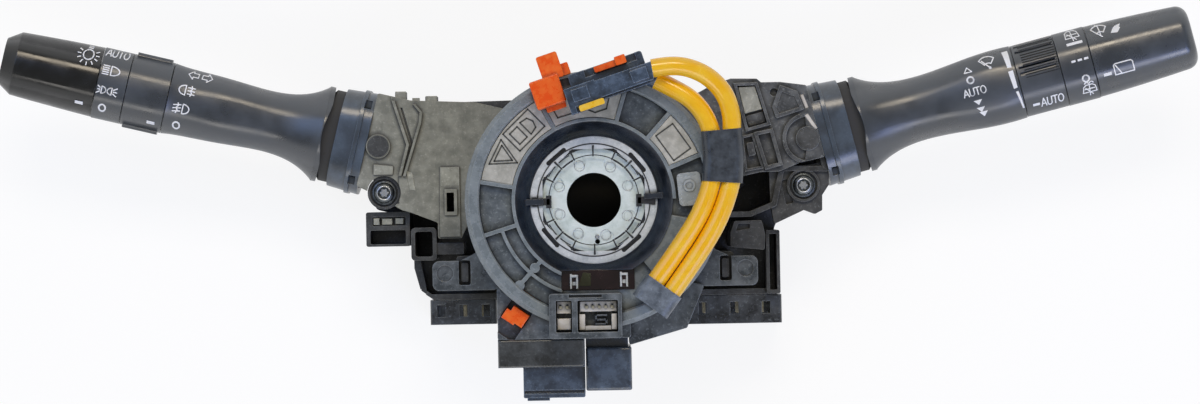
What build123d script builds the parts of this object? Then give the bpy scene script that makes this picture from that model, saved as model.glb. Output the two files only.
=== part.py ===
"""Steering-column combination switch: two stalks, spiral cable and airbag leads.

Millimetres. The Z axis is the steering-column axis, +Z points at the driver and z = 0 is the
rest plane under the column sleeve and the two side connectors. X runs across the car.
"""
from build123d import *
from math import atan2, cos, degrees, pi, radians, sin, tan
import os

os.makedirs("parts", exist_ok=True)

# ---------------------------------------------------------------- driving dimensions
running_gap = 0.05  # radial clearance of journals and shafts
body_gap = 0.4  # clearance between bodies that move past each other

# column clamp and bracket
column_r = 21.0
sleeve_wall = 3.6
sleeve_z = 18.0
slit_width = 2.4
slit_depth = 11.0
plate_z = 14.0
plate_thick = 4.0
wall = 2.0
rib_thick = 1.6
band_thick = 1.4
band_height = 7.2
band_z = 1.5

# switch cases and their stalk pivots
pivot_x = 80.6
pivot_y = 21.6
pivot_z = 34.0
case_top = 47.5
cover_thick = 2.5
screw_x = 78.8
screw_y = 4.1
screw_top = 46.0
screw_r = 2.0
screw_head_r = 4.6
screw_head_z = 2.6
lug_r = 6.2
tower_r = 4.4
lug_thick = 4.0
journal_r = 4.0

# stalks: rise in the plane of the wheel and tilt towards the driver, degrees
stalk_rise = 14.0
stalk_tilt = 6.0
collar_start = 4.6
collar_end = 16.5
collar_wide = 39.0
collar_deep = 32.0
collar_wall = 2.6
flange_start = 21.5
flange_wide = 36.5
flange_deep = 30.0
flange_sphere = 27.6
guard_gap = 0.6
guard_wide = 35.0
guard_deep = 28.0
neck_room_wide = 24.0
neck_room_deep = 19.4
neck_lift = 2.2
neck_wide = 23.2
neck_deep = 19.5
grip_wide = 27.0
grip_deep = 22.0
tube_r = 7.0
shaft_r = 3.0
swing_hub_r = 6.8
swing_hub_half = 5.2
neck_r = 4.9
cross_pin_r = 2.4
ring_gap = 0.35

# distances along the stalks from their pivots
light_ring_start = 82.0
light_ring_end = 98.0
light_label_end = 109.0
light_tip = 145.0
wiper_ring_start = 83.0
wiper_ring_end = 99.5
wiper_label_end = 111.5
wiper_tip = 150.0

# spiral cable
stator_r = 46.4
stator_z = 61.0
stator_top = 83.2
stator_wall = 2.0
rotor_r = 46.8
rotor_z = 84.0
rotor_top = 91.6
rim_inner_r = rotor_r - 5.2
face_z = 90.4
pocket_z = 87.6
face_inner_r = 28.6
funnel_r = 23.3
funnel_z = 84.4
drum_r = 21.5
drum_inner_r = 18.9
drum_z = 43.0
cam_tall = 7.0
lobe_r = 25.6
hub_plate_r = 18.3
hub_plate_z = 80.4
hub_plate_thick = 2.6
shaft_hole_r = 9.9
snap_ring_z = 83.0
snap_ring_thick = 2.2
key_seat = 1.0

# airbag leads
lead_r = 3.4
lead_z = 96.0

# ---------------------------------------------------------------- shared helpers


def save(piece, name):
    """Label a finished sub-part and write its STEP file."""
    piece.part.label = name
    export_step(piece.part, f"parts/{name}.step")


def polar(radius, angle):
    """Point at a radius and an angle in degrees about the column axis."""
    return (radius * cos(radians(angle)), radius * sin(radians(angle)))


def sided(side, points):
    """Outline points of the right-hand side, mirrored where side is -1."""
    return [(side * x, y) for x, y in points]


def stalk_plane(side, distance, tilt=stalk_tilt):
    """Plane square to a stalk: x across the stalk, y towards the driver, z out to the knob."""
    rise = radians(stalk_rise)
    lift = radians(tilt)
    out = Vector(side * cos(rise) * cos(lift), sin(rise) * cos(lift), sin(lift))
    pivot = Vector(side * pivot_x, pivot_y, pivot_z)
    return Plane(origin=pivot + out * distance, x_dir=(-sin(rise), side * cos(rise), 0), z_dir=out)


def swing_plane(side, height):
    """Plane square to a stalk's swing axis: x out along the stalk, z towards the driver."""
    rise = radians(stalk_rise)
    origin = (side * pivot_x, pivot_y, height)
    return Plane(origin=origin, x_dir=(side * cos(rise), sin(rise), 0), z_dir=(0, 0, 1))


def cross_plane(side, offset):
    """Plane square to a stalk's pull axis: z across the stalk, x out along it."""
    base = stalk_plane(side, 0)
    return Plane(origin=base.origin + base.x_dir * offset, x_dir=base.z_dir, z_dir=base.x_dir)


def sector(inner, outer, start, end):
    """Flat ring sector between two radii and two angles in degrees."""
    mid = (start + end) / 2
    with BuildSketch() as shape:
        with BuildLine():
            ThreePointArc(polar(outer, start), polar(outer, mid), polar(outer, end))
            Line(polar(outer, end), polar(inner, end))
            ThreePointArc(polar(inner, end), polar(inner, mid), polar(inner, start))
            Line(polar(inner, start), polar(outer, start))
        make_face()
    return shape.sketch


def outline(points, corner=0.0):
    """Closed straight-sided outline with every corner rounded."""
    with BuildSketch() as shape:
        with BuildLine():
            Polyline(*points, close=True)
        make_face()
        if corner > 0:
            fillet(shape.vertices(), corner)
    return shape.sketch


def rounded(wide, deep, corner, x=0.0, y=0.0):
    """Rounded rectangle about a point."""
    with BuildSketch() as shape:
        with Locations((x, y)):
            RectangleRounded(wide, deep, corner)
    return shape.sketch


def strip(points, wide):
    """Band of constant width in x along a line that runs mostly in y."""
    near = [(x - wide / 2, y) for x, y in points]
    far = [(x + wide / 2, y) for x, y in reversed(points)]
    return outline(near + far)


def frame(points, inset):
    """Flat frame: an outline less the same outline drawn in by an amount."""
    with BuildSketch() as shape:
        add(outline(points))
        with BuildSketch(mode=Mode.PRIVATE) as inner:
            add(outline(points))
            offset(amount=-inset, kind=Kind.INTERSECTION, mode=Mode.REPLACE)
        add(inner.sketch, mode=Mode.SUBTRACT)
    return shape.sketch


def at(sketch, plane):
    """A flat helper outline laid on a plane."""
    return plane * sketch


def level(height):
    """Horizontal plane at a height."""
    return Plane.XY.offset(height)


# ---------------------------------------------------------------- bracket and column clamp
bracket_right = [
    (0, 33), (30, 39), (63, 38.5), (77, 33), (84, 8), (84.5, -2), (72, -5),
    (69, -12), (69, -37), (34, -37), (28, -33), (0, -33),
]
bracket_outline = bracket_right + [(-x, y) for x, y in reversed(bracket_right[1:-1])]
guide_x = 64.2  # harness guide frame
guide_y = -15.4
guide_wide = 9.6
guide_tall = 12.4
hook_x = stator_r + 1.9
hook_y = -26.0
connector_back = -33.0
skirt_top = 30.0
block_top = 46.0
column_top = 38.0
harness_top = 43.0
block_right = [(51.2, -13.0), (52.7, -8.9), (62.9, -8.7), (64.2, -14.3), (63.8, -19.9), (51.0, -18.6)]
plate_top = plate_z + plate_thick
tower_top = screw_top - lug_thick

with BuildPart() as switch_bracket:
    extrude(at(outline(bracket_outline, 2.5), level(plate_z)), amount=plate_thick)
    with BuildSketch():
        Circle(column_r + sleeve_wall)
    extrude(amount=sleeve_z)
    # towers under the case screws and ribs that stiffen the plate from below
    for side in (-1, 1):
        with BuildSketch(level(plate_top)):
            with Locations((side * screw_x, screw_y)):
                Circle(tower_r)
        extrude(amount=tower_top - plate_top)
        for angle in (18, -22):
            start = polar(column_r + sleeve_wall / 2, angle)
            with BuildSketch(level(plate_z - 5)):
                with Locations((side * (start[0] + 22), start[1] + 22 * tan(radians(angle)))):
                    Rectangle(46, rib_thick, rotation=side * angle)
            extrude(amount=5)
        # the post and hook that hold the spiral cable's ear
        extrude(at(rounded(6.5, 12, 1.2, side * hook_x, hook_y), level(plate_top)),
                amount=stator_z - plate_top)
        extrude(at(rounded(2.6, 7.0, 0.6, side * hook_x, hook_y), level(stator_z)), amount=3.4)
        # skirt wall round the lower corner
        extrude(at(outline(sided(side, [(69, -20), (69, -37), (34, -37), (34, -34.8), (66.8, -34.8),
                                        (66.8, -20)])), level(plate_top)), amount=skirt_top - plate_top)
    # left: harness guide frame with a bar beside it, and the sloping corner of the skirt
    extrude(at(rounded(guide_wide, guide_tall, 1.6, -guide_x, guide_y), level(plate_top)),
            amount=case_top - plate_top)
    extrude(at(rounded(11.2, 4.4, 0.4, -54.8, guide_y - 1.8), level(skirt_top)), amount=block_top + 1 - skirt_top)
    extrude(at(rounded(guide_wide - 3, guide_tall - 3, 1.0, -guide_x, guide_y), level(plate_top + 2)),
            amount=case_top, mode=Mode.SUBTRACT)
    extrude(at(outline([(-70, -21), (-66.6, -33.6), (-60.8, -37.6), (-75, -37.6), (-75, -21)]), level(plate_z)),
            amount=skirt_top, mode=Mode.SUBTRACT)
    extrude(at(strip([(-67.8, -20.6), (-65.4, -33.4), (-61.2, -36.4)], 2.0), level(plate_z)),
            amount=skirt_top - plate_z)
    # right: hollow block under the case and the column pocket at its side
    extrude(at(outline(block_right, 0.6), level(plate_top)), amount=block_top - plate_top)
    extrude(at(rounded(8.6, 5.8, 0.6, 57.6, -14.0), level(plate_z)), amount=block_top - wall - plate_z,
            mode=Mode.SUBTRACT)
    extrude(at(outline([(53.2, -12.6), (54.0, -10.0), (58.4, -10.0), (58.4, -11.8)]), level(block_top)),
            amount=-1.2, mode=Mode.SUBTRACT)
    extrude(at(rounded(5.2, 24.0, 0.6, 67.4, -24.6), level(plate_top)), amount=column_top - plate_top)
    extrude(at(rounded(2.8, 21.2, 0.4, 67.4, -24.6), level(plate_top + wall)), amount=column_top,
            mode=Mode.SUBTRACT)
    with BuildSketch():
        Circle(column_r)
    extrude(amount=sleeve_z, mode=Mode.SUBTRACT)
    with BuildSketch():
        with PolarLocations(column_r + sleeve_wall / 2, 4, start_angle=45):
            Rectangle(sleeve_wall * 2, slit_width)
    extrude(amount=slit_depth, mode=Mode.SUBTRACT)
    for side in (-1, 1):
        with Locations((side * screw_x, screw_y, tower_top)):
            Hole(screw_r - 0.2, depth=16)
    # harness block below the left pivot: a deep recess and a ledge
    extrude(at(rounded(16.5, 13.0, 0.8, -77.9, -9.6), level(plate_top - 1)), amount=harness_top - plate_top + 1)
    extrude(at(rounded(13.4, 5.2, 0.6, -77.9, -12.6), level(harness_top)), amount=-12, mode=Mode.SUBTRACT)
    extrude(at(rounded(12.6, 3.2, 0.4, -77.4, -6.6), level(harness_top)), amount=-2.4, mode=Mode.SUBTRACT)
    # lightening windows beside the sleeve
    for side in (-1, 1):
        extrude(at(outline(sided(side, [(31, 20), (60, 26), (58, 4), (32, 2)]), 3), level(plate_z)),
                amount=plate_thick, mode=Mode.SUBTRACT)
save(switch_bracket, "switch_bracket")

band_r = column_r + sleeve_wall
ear_x = band_r + band_thick + 4.0
ear_gap = 5.0
with BuildPart() as clamp_band:
    with BuildSketch(level(band_z)):
        Circle(band_r + band_thick)
        Circle(band_r, mode=Mode.SUBTRACT)
        with Locations((band_r + band_thick / 2, 0)):
            Rectangle(band_thick * 6, ear_gap, mode=Mode.SUBTRACT)
        for sign in (-1, 1):
            with Locations((band_r + 4.6, sign * (ear_gap / 2 + band_thick / 2))):
                Rectangle(9.2, band_thick)
    extrude(amount=band_height)
    with Locations(Plane(origin=(band_r + 5.4, -10, band_z + band_height / 2), z_dir=(0, 1, 0))):
        Cylinder(screw_r + running_gap, 40, mode=Mode.SUBTRACT)
save(clamp_band, "clamp_band")

with BuildPart() as clamp_screw:
    axis_x = band_r + 5.4
    axis_z = band_z + band_height / 2
    ear_face = ear_gap / 2 + band_thick
    with BuildSketch(Plane(origin=(axis_x, -ear_face, axis_z), z_dir=(0, -1, 0))):
        RegularPolygon(3.6, 6)
    extrude(amount=2.6)
    with BuildSketch(Plane(origin=(axis_x, -ear_face, axis_z), z_dir=(0, 1, 0))):
        Circle(screw_r)
    extrude(amount=2 * ear_face + 6)
    with BuildSketch(Plane(origin=(axis_x, ear_face, axis_z), z_dir=(0, 1, 0))):
        RegularPolygon(3.6, 6)
        Circle(screw_r, mode=Mode.SUBTRACT)
    extrude(amount=2.4)
save(clamp_screw, "clamp_screw")

# ---------------------------------------------------------------- switch cases and covers
case_inner_x = 29.5
mouth = stalk_plane(1, collar_start, 0)
mouth_half = collar_wide / 2
mouth_top = mouth.origin + mouth.x_dir * mouth_half
mouth_low = mouth.origin - mouth.x_dir * (mouth_half - 5.5)
plate_low = mouth.origin - mouth.x_dir * (mouth_half - 3.2)
top_edge = {
    "left": [(case_inner_x, 34), (44, 37.5), (68, 38.6), (mouth_top.X, mouth_top.Y)],
    "right": [(case_inner_x, 34), (44, 41.8), (52, 44.6), (61.8, 44.4), (63.4, 43.0), (70.6, 43.0),
              (mouth_top.X, mouth_top.Y)],
}
low_edge = [(mouth_low.X, mouth_low.Y), (71.6, 9.6), (68.5, -3.5), (58.7, -7.4), (50, -7.4), (case_inner_x, -3)]
bolt_plate = [  # right-hand shelf under the case screw
    (66.0, 10.0), (88.0, 12.8), (88.6, 4.3), (85.9, 0.3), (85.8, -5.4), (83.1, -6.8), (79.0, -5.2),
    (67.7, -10.3), (66.4, -2.7),
]
boss_wall = 0.9  # raised ring round each case screw
boss_ring = 0.5  # raised ring round each pivot journal
detent_r = 28.6  # arc of the detent track about the swing axis
pawl_y = 4.5
pawl_wide = 6.2
pawl_z = 43.8
pawl_tall = 3.0

for side, name in ((-1, "left"), (1, "right")):
    floor_z = plate_top + wall
    case_edge = sided(side, top_edge[name] + low_edge)
    with BuildPart() as case:
        extrude(at(outline(case_edge, 0.7), level(plate_top)), amount=case_top - plate_top)
        with BuildSketch(level(floor_z)):
            add(outline(case_edge, 0.7))
            offset(amount=-wall, kind=Kind.INTERSECTION, mode=Mode.REPLACE)
        extrude(amount=case_top, mode=Mode.SUBTRACT)
        # screw lug and its web
        extrude(at(outline(sided(side, [(screw_x - 8, screw_y + 6), (screw_x + 3, screw_y + 6),
                                        (screw_x + 3, screw_y - 4), (screw_x - 6, screw_y - 5)]), 1.5),
                   level(tower_top)), amount=lug_thick)
        with BuildSketch(level(tower_top)):
            with Locations((side * screw_x, screw_y)):
                Circle(lug_r)
        extrude(amount=lug_thick)
        if side > 0:
            extrude(at(outline(bolt_plate, 0.6), level(tower_top - 4)), amount=lug_thick + 4)
            with BuildSketch(level(tower_top - 4)):
                add(outline(bolt_plate))
                offset(amount=-boss_wall * 2, kind=Kind.INTERSECTION, mode=Mode.REPLACE)
            extrude(amount=4, mode=Mode.SUBTRACT)
            extrude(at(outline([(70.4, 6.0), (73.0, 6.6), (75.0, -2.4), (72.2, -3.0)], 0.4), level(screw_top)),
                    amount=-1.2, mode=Mode.SUBTRACT)
        else:
            # two tabs on the upper edge
            extrude(at(rounded(4.2, 5.0, 0.5, -71.9, 39.6), level(case_top - 6)), amount=6)
            extrude(at(rounded(4.6, 3.6, 0.5, -60.4, 38.4), level(case_top - 6)), amount=6)
        with BuildSketch(level(screw_top)):
            with Locations((side * screw_x, screw_y)):
                Circle(lug_r)
                Circle(lug_r - boss_wall, mode=Mode.SUBTRACT)
        extrude(amount=1.4)
        # detent track: a ring sector about the swing axis with three notches
        track = swing_plane(side, floor_z)
        with BuildSketch(track):
            add(sector(detent_r, detent_r + 4, 158, 202))
            for notch in (166, 180, 194):
                with Locations(polar(detent_r, notch)):
                    Circle(1.3, mode=Mode.SUBTRACT)
        extrude(amount=11)
        # mouth for the lever, journal bearing and screw hole
        with BuildSketch(stalk_plane(side, -2, 0)):
            RectangleRounded(collar_wide - 2 * collar_wall, collar_deep - 2 * collar_wall - 3, 6)
        extrude(amount=20, mode=Mode.SUBTRACT)
        with Locations((side * pivot_x, pivot_y, plate_top)):
            Cylinder(journal_r + running_gap, 80, mode=Mode.SUBTRACT)
        with Locations((side * screw_x, screw_y, screw_top)):
            Hole(screw_r + 0.2, depth=lug_thick * 2)
        if side < 0:
            with Locations((side * case_inner_x, pawl_y, case_top)):
                Box(12, pawl_wide + 2 * body_gap, 2 * (case_top - pawl_z + body_gap), mode=Mode.SUBTRACT)
    save(case, f"{name}_case")

    with BuildPart() as collar:
        with BuildSketch(stalk_plane(side, collar_start, 0)):
            RectangleRounded(collar_wide, collar_deep, 12)
        with BuildSketch(stalk_plane(side, collar_end, 0)):
            RectangleRounded(collar_wide - 1.6, collar_deep - 1.6, 12)
        loft()
        with BuildSketch(stalk_plane(side, collar_start, 0)):
            RectangleRounded(collar_wide - 2 * collar_wall, collar_deep - 2 * collar_wall, 9.5)
        extrude(amount=collar_end, mode=Mode.SUBTRACT)
        # dust guard in the mouth, rounded about the pivot so that the flange sweeps past it
        with BuildPart(mode=Mode.PRIVATE) as guard:
            extrude(at(rounded(guard_wide, guard_deep, 11), stalk_plane(side, collar_end - 1.5, 0)), amount=14)
            with Locations(stalk_plane(side, 0, 0).location):
                Sphere(flange_sphere - guard_gap, mode=Mode.INTERSECT)
            extrude(at(rounded(neck_room_wide, neck_room_deep, 6, 0, neck_lift),
                       stalk_plane(side, collar_end - 3, 0)), amount=16, mode=Mode.SUBTRACT)
        add(guard.part)
        # a raised ridge behind the mouth and two snap windows
        with BuildSketch(stalk_plane(side, collar_start + 3.4, 0)):
            RectangleRounded(collar_wide + 0.8, collar_deep + 0.8, 12.2)
            RectangleRounded(collar_wide - collar_wall, collar_deep - collar_wall, 11, mode=Mode.SUBTRACT)
        extrude(amount=1.6)
        with BuildSketch(stalk_plane(side, collar_start + 1.2, 0)):
            for sign in (-1, 1):
                with Locations((sign * 14.5, collar_deep / 2)):
                    Rectangle(3.2, 9)
        extrude(amount=2.6, mode=Mode.SUBTRACT)
    save(collar, f"{name}_collar")

# covers, each with its own pockets and ribs
cover_low = [
    (plate_low.X, plate_low.Y), (83, 4), (72, -2.5), (68.5, -3.5), (58.7, -7.4), (58.7, -13.4), (50, -13.4),
    (47, -7.4), (case_inner_x, -3),
]
pivot_corner = [(-96, 46), (-75.4, 46), (-75.4, 39.0), (-69.8, 22.0), (-72.9, 10.2), (-73, 0), (-96, 0)]
cover_top = case_top + cover_thick
rib_z = level(cover_top)
with BuildPart() as left_cover:
    extrude(at(outline(sided(-1, top_edge["left"] + cover_low), 0.8), level(case_top)), amount=cover_thick)
    # the corner round the pivot lies lower; two ribs run down beside it
    extrude(at(outline(pivot_corner), level(cover_top - 1.0)), amount=2, mode=Mode.SUBTRACT)
    extrude(at(strip([(-74.6, 38.6), (-69.4, 22.0), (-72.5, 10.4)], 1.1), level(cover_top - 1.0)), amount=2.4)
    extrude(at(strip([(-66.8, 37.2), (-64.2, 34.0), (-64.7, 30.0), (-70.9, 10.2)], 1.0), rib_z), amount=1.4)
    extrude(at(strip([(-71.6, 36.0), (-67.7, 22.0), (-70.3, 13.0)], 0.8), rib_z), amount=-0.7, mode=Mode.SUBTRACT)
    extrude(at(outline([(-82.4, 15.0), (-75.0, 14.2), (-75.2, 10.9), (-82.6, 10.9)], 0.4), level(cover_top - 1.0)),
            amount=0.9)
    extrude(at(outline([(-57.5, 13.4), (-50.2, 13.4), (-50.2, -12.8), (-57.9, -12.8)]), rib_z), amount=0.7)
    with BuildSketch(level(cover_top - 1.0)):
        with Locations((-pivot_x, pivot_y)):
            Circle(journal_r + boss_ring)
    extrude(amount=1.4)
    extrude(at(rounded(4.8, 9.8, 0.4, -53.6, 0.2), rib_z), amount=1.6)
    extrude(at(rounded(2.8, 7.2, 0.3, -53.8, 0.2), level(case_top)), amount=8, mode=Mode.SUBTRACT)
    with Locations((-pivot_x, pivot_y, case_top)):
        Cylinder(journal_r + running_gap, 20, mode=Mode.SUBTRACT)
    with Locations((-screw_x, screw_y, case_top)):
        Cylinder(lug_r + 0.2, 20, mode=Mode.SUBTRACT)
save(left_cover, "left_cover")

shelf_edge = [(86.9, 14.6), (77.5, 12.6), (69.5, 9.4), (62.4, 9.3), (54, 7.6), (case_inner_x, 3)]
pocket_frame = [(53.0, 42.8), (62.0, 43.0), (66.8, 27.0), (57.4, 24.6)]
slot_frame = [(60.2, 24.2), (67.4, 25.6), (71.0, 11.8), (64.4, 10.2)]
latch_frame = [(55.4, 22.9), (60.2, 23.9), (64.0, 10.8), (56.8, 9.6)]
corner_plate = [(67.4, 33.6), (70.4, 41.8), (76.9, 39.4), (79.4, 32.6), (68.8, 29.3)]
with BuildPart() as right_cover:
    extrude(at(outline(top_edge["right"] + shelf_edge, 0.7), level(case_top)), amount=cover_thick)
    # framed pocket with two plates in it, the slot and the latch beside it, and the corner plate
    for edge, inset, tall in ((pocket_frame, 1.1, 1.6), (slot_frame, 1.3, 1.6), (latch_frame, 0.9, 0.9)):
        extrude(at(outline(edge), rib_z), amount=-1.6, mode=Mode.SUBTRACT)
        extrude(at(frame(edge, inset), level(cover_top - 1.6)), amount=tall + 1.6)
    extrude(at(outline([(54.9, 41.2), (61.0, 41.5), (63.6, 32.9), (57.1, 31.3)], 0.3), level(cover_top - 1.6)),
            amount=2.2)
    extrude(at(outline([(57.5, 30.4), (63.9, 32.0), (65.0, 28.2), (58.6, 26.6)], 0.3), level(cover_top - 1.6)),
            amount=1.0)
    extrude(at(outline([(57.5, 20.2), (60.0, 20.7), (61.0, 15.9), (58.4, 15.3)], 0.3), level(cover_top - 1.6)),
            amount=2.6)
    extrude(at(outline(corner_plate, 0.5), rib_z), amount=1.3)
    extrude(at(outline([(68.9, 32.9), (71.0, 39.2), (75.9, 37.4), (77.6, 33.4), (70.0, 31.1)], 0.3),
               level(cover_top + 1.3)), amount=-0.5, mode=Mode.SUBTRACT)
    with BuildSketch(rib_z):
        with Locations((68.2, 39.2)):
            Circle(1.5)
        add(outline([(77.9, 38.2), (79.2, 38.4), (81.2, 33.2), (80.0, 32.6)]))
        add(outline([(79.4, 30.4), (80.8, 31.2), (84.6, 25.4), (83.4, 24.5)]))
    extrude(amount=-1.8, mode=Mode.SUBTRACT)
    # recess and arc wall round the pivot
    with BuildSketch(Plane(origin=(pivot_x, pivot_y, cover_top), z_dir=(0, 0, 1))):
        add(sector(0.1, 8.2, 96, 262))
    extrude(amount=-1.1, mode=Mode.SUBTRACT)
    with BuildSketch(Plane(origin=(pivot_x, pivot_y, cover_top - 1.1), z_dir=(0, 0, 1))):
        Circle(journal_r + boss_ring)
    extrude(amount=1.5)
    with BuildSketch(Plane(origin=(pivot_x, pivot_y, cover_top), z_dir=(0, 0, 1))):
        add(sector(8.2, 9.6, 108, 250))
    extrude(amount=1.2)
    with Locations((pivot_x, pivot_y, case_top)):
        Cylinder(journal_r + running_gap, 20, mode=Mode.SUBTRACT)
save(right_cover, "right_cover")

with BuildPart() as case_screws:
    for side in (-1, 1):
        with BuildSketch(Plane(origin=(side * screw_x, screw_y, screw_top), z_dir=(0, 0, 1))):
            Circle(screw_head_r)
        extrude(amount=screw_head_z)
        with BuildSketch(Plane(origin=(side * screw_x, screw_y, screw_top - 16), z_dir=(0, 0, 1))):
            Circle(screw_r - 0.2)
        extrude(amount=16)
    chamfer(case_screws.edges().group_by(Axis.Z)[-1], 0.6)
    for side in (-1, 1):
        with Locations((side * screw_x, screw_y, screw_top + screw_head_z)):
            Hole(2.1, depth=1.8)
save(case_screws, "case_screws")

# ---------------------------------------------------------------- harness connectors under the switches
shroud_wall = 2.0
shroud_top = 30.0
pin_half = 0.5
connectors = {
    "left": {"side": -1, "near": 37.8, "far": 63.2, "front": -46.5},
    "right": {"side": 1, "near": 34.6, "far": 70.8, "front": -48.0},
}
for name, spec in connectors.items():
    middle = spec["side"] * (spec["near"] + spec["far"]) / 2
    wide = spec["far"] - spec["near"]
    front = spec["front"]
    back = connector_back - 4.2
    face = Plane(origin=(middle, front, shroud_top / 2), x_dir=(1, 0, 0), z_dir=(0, -1, 0))
    with BuildPart() as shroud:
        with BuildSketch(face):
            RectangleRounded(wide, shroud_top, 1.2)
        extrude(amount=-(back - front))
        with BuildSketch(face):
            RectangleRounded(wide - 2 * shroud_wall, shroud_top - 2 * shroud_wall, 0.8)
        extrude(amount=-(back - front - shroud_wall), mode=Mode.SUBTRACT)
        # latch windows in the top wall
        with BuildSketch(level(shroud_top)):
            with Locations((middle, (back + front) / 2 + 0.6)):
                with GridLocations(wide / 3, 1, 3, 1):
                    Rectangle(3.2, 4.6)
        extrude(amount=-shroud_wall, mode=Mode.SUBTRACT)
    save(shroud, f"{name}_connector")

# ---------------------------------------------------------------- steering-angle sensor
sensor_inner_r = 23.6
sensor_z = 50.4
sensor_top = 60.6
sensor_wall = 1.2
gear_module = 1.5
gear_teeth = 34
magnet_teeth = 10
magnet_angles = (62, 118)
gear_z = 54.6
gear_thick = 3.4
gear_r = gear_module * gear_teeth / 2
magnet_r = gear_module * magnet_teeth / 2
magnet_reach = gear_r + magnet_r + 0.25
tooth_tip = 0.85 * gear_module
magnet_room = 2.375
board_gap = 1.0
sensor_outer_r = magnet_reach + magnet_r + tooth_tip + magnet_room + sensor_wall

with BuildPart() as sensor_case:
    with BuildSketch(level(sensor_z)):
        Circle(sensor_outer_r)
        Circle(sensor_inner_r, mode=Mode.SUBTRACT)
    extrude(amount=sensor_top - sensor_wall - sensor_z)
    with BuildSketch(level(sensor_z + sensor_wall)):
        Circle(sensor_outer_r - sensor_wall)
        Circle(sensor_inner_r, mode=Mode.SUBTRACT)
    extrude(amount=sensor_top, mode=Mode.SUBTRACT)
    # lip round the drum and posts for the two magnet gears
    with BuildSketch(level(sensor_z + sensor_wall)):
        Circle(sensor_inner_r + sensor_wall)
        Circle(sensor_inner_r, mode=Mode.SUBTRACT)
    extrude(amount=1.6)
    for angle in magnet_angles:
        with Locations(Vector(*polar(magnet_reach, angle), sensor_z + sensor_wall)):
            Cylinder(2.0, 6.8, align=(Align.CENTER, Align.CENTER, Align.MIN))
            Cylinder(3.6, gear_z - 0.2 - sensor_z - sensor_wall, align=(Align.CENTER, Align.CENTER, Align.MIN))
save(sensor_case, "sensor_case")

with BuildPart() as sensor_cover:
    with BuildSketch(level(sensor_top - sensor_wall)):
        Circle(sensor_outer_r)
        Circle(sensor_inner_r + 4.6, mode=Mode.SUBTRACT)
    extrude(amount=sensor_wall)
save(sensor_cover, "sensor_cover")

with BuildPart() as circuit_boards:
    for side in (-1, 1):
        extrude(at(outline(sided(side, [(33, 30), (46, 32), (46, 0), (33, 1)]), 1.5), level(floor_z)),
                amount=1.6)
        with BuildSketch(level(floor_z + 1.6)):
            with Locations((side * 39.5, 16)):
                with GridLocations(4.4, 6, 2, 4):
                    Rectangle(3.2, 2.2)
        extrude(amount=1.0)
    with BuildSketch(level(sensor_z + sensor_wall)):
        add(sector(sensor_inner_r + sensor_wall + 1.8, sensor_outer_r - sensor_wall - board_gap, 190, 350))
    extrude(amount=1.6)
    with BuildSketch(level(sensor_z + sensor_wall + 1.6)):
        with PolarLocations(34, 5, start_angle=214, angular_range=112):
            Rectangle(6, 6)
    extrude(amount=1.4)
save(circuit_boards, "circuit_boards")


def toothed_disc(teeth, bore, first):
    """Spur gear outline with straight-flanked teeth; `first` is one tooth's angle in degrees."""
    pitch = gear_module * teeth / 2
    tip = pitch + tooth_tip
    root = pitch - 1.15 * gear_module
    step = 360 / teeth
    points = []
    for tooth in range(teeth):
        centre = first + tooth * step
        for radius, share in ((root, -0.27), (tip, -0.11), (tip, 0.11), (root, 0.27)):
            points.append(polar(radius, centre + share * step))
    with BuildSketch() as shape:
        with BuildLine():
            Polyline(*points, close=True)
        make_face()
        Circle(bore, mode=Mode.SUBTRACT)
    return shape.sketch


with BuildPart() as sensor_gear:
    with BuildSketch(level(gear_z)):
        add(toothed_disc(gear_teeth, drum_r, magnet_angles[0]))
    extrude(amount=gear_thick)
save(sensor_gear, "sensor_gear")

for number, angle in enumerate(magnet_angles, start=1):
    # the tooth on the line of centres faces a gap of the big gear
    ring_phase = ((angle - magnet_angles[0]) / (360 / gear_teeth)) % 1.0
    first = angle + 180 + (0.5 + ring_phase) * 360 / magnet_teeth
    centre = Vector(*polar(magnet_reach, angle), gear_z)
    with BuildPart() as magnet_gear:
        with BuildSketch(Plane(origin=centre, z_dir=(0, 0, 1))):
            add(toothed_disc(magnet_teeth, 2.0 + running_gap, first))
        extrude(amount=gear_thick)
    save(magnet_gear, f"magnet_gear_{number}")

# ---------------------------------------------------------------- spiral cable: stator side
lock_angle = -125.0
lock_r = stator_r + 4.2
front_y = -stator_r - 4.0  # where the connectors start
ear_right = [
    (40, -14), (44.5, -19.0), (hook_x + 1.7, -21.6), (hook_x + 11.9, -21.6), (hook_x + 11.9, -32.6),
    (36, -32.6), (34, -24),
]

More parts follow.
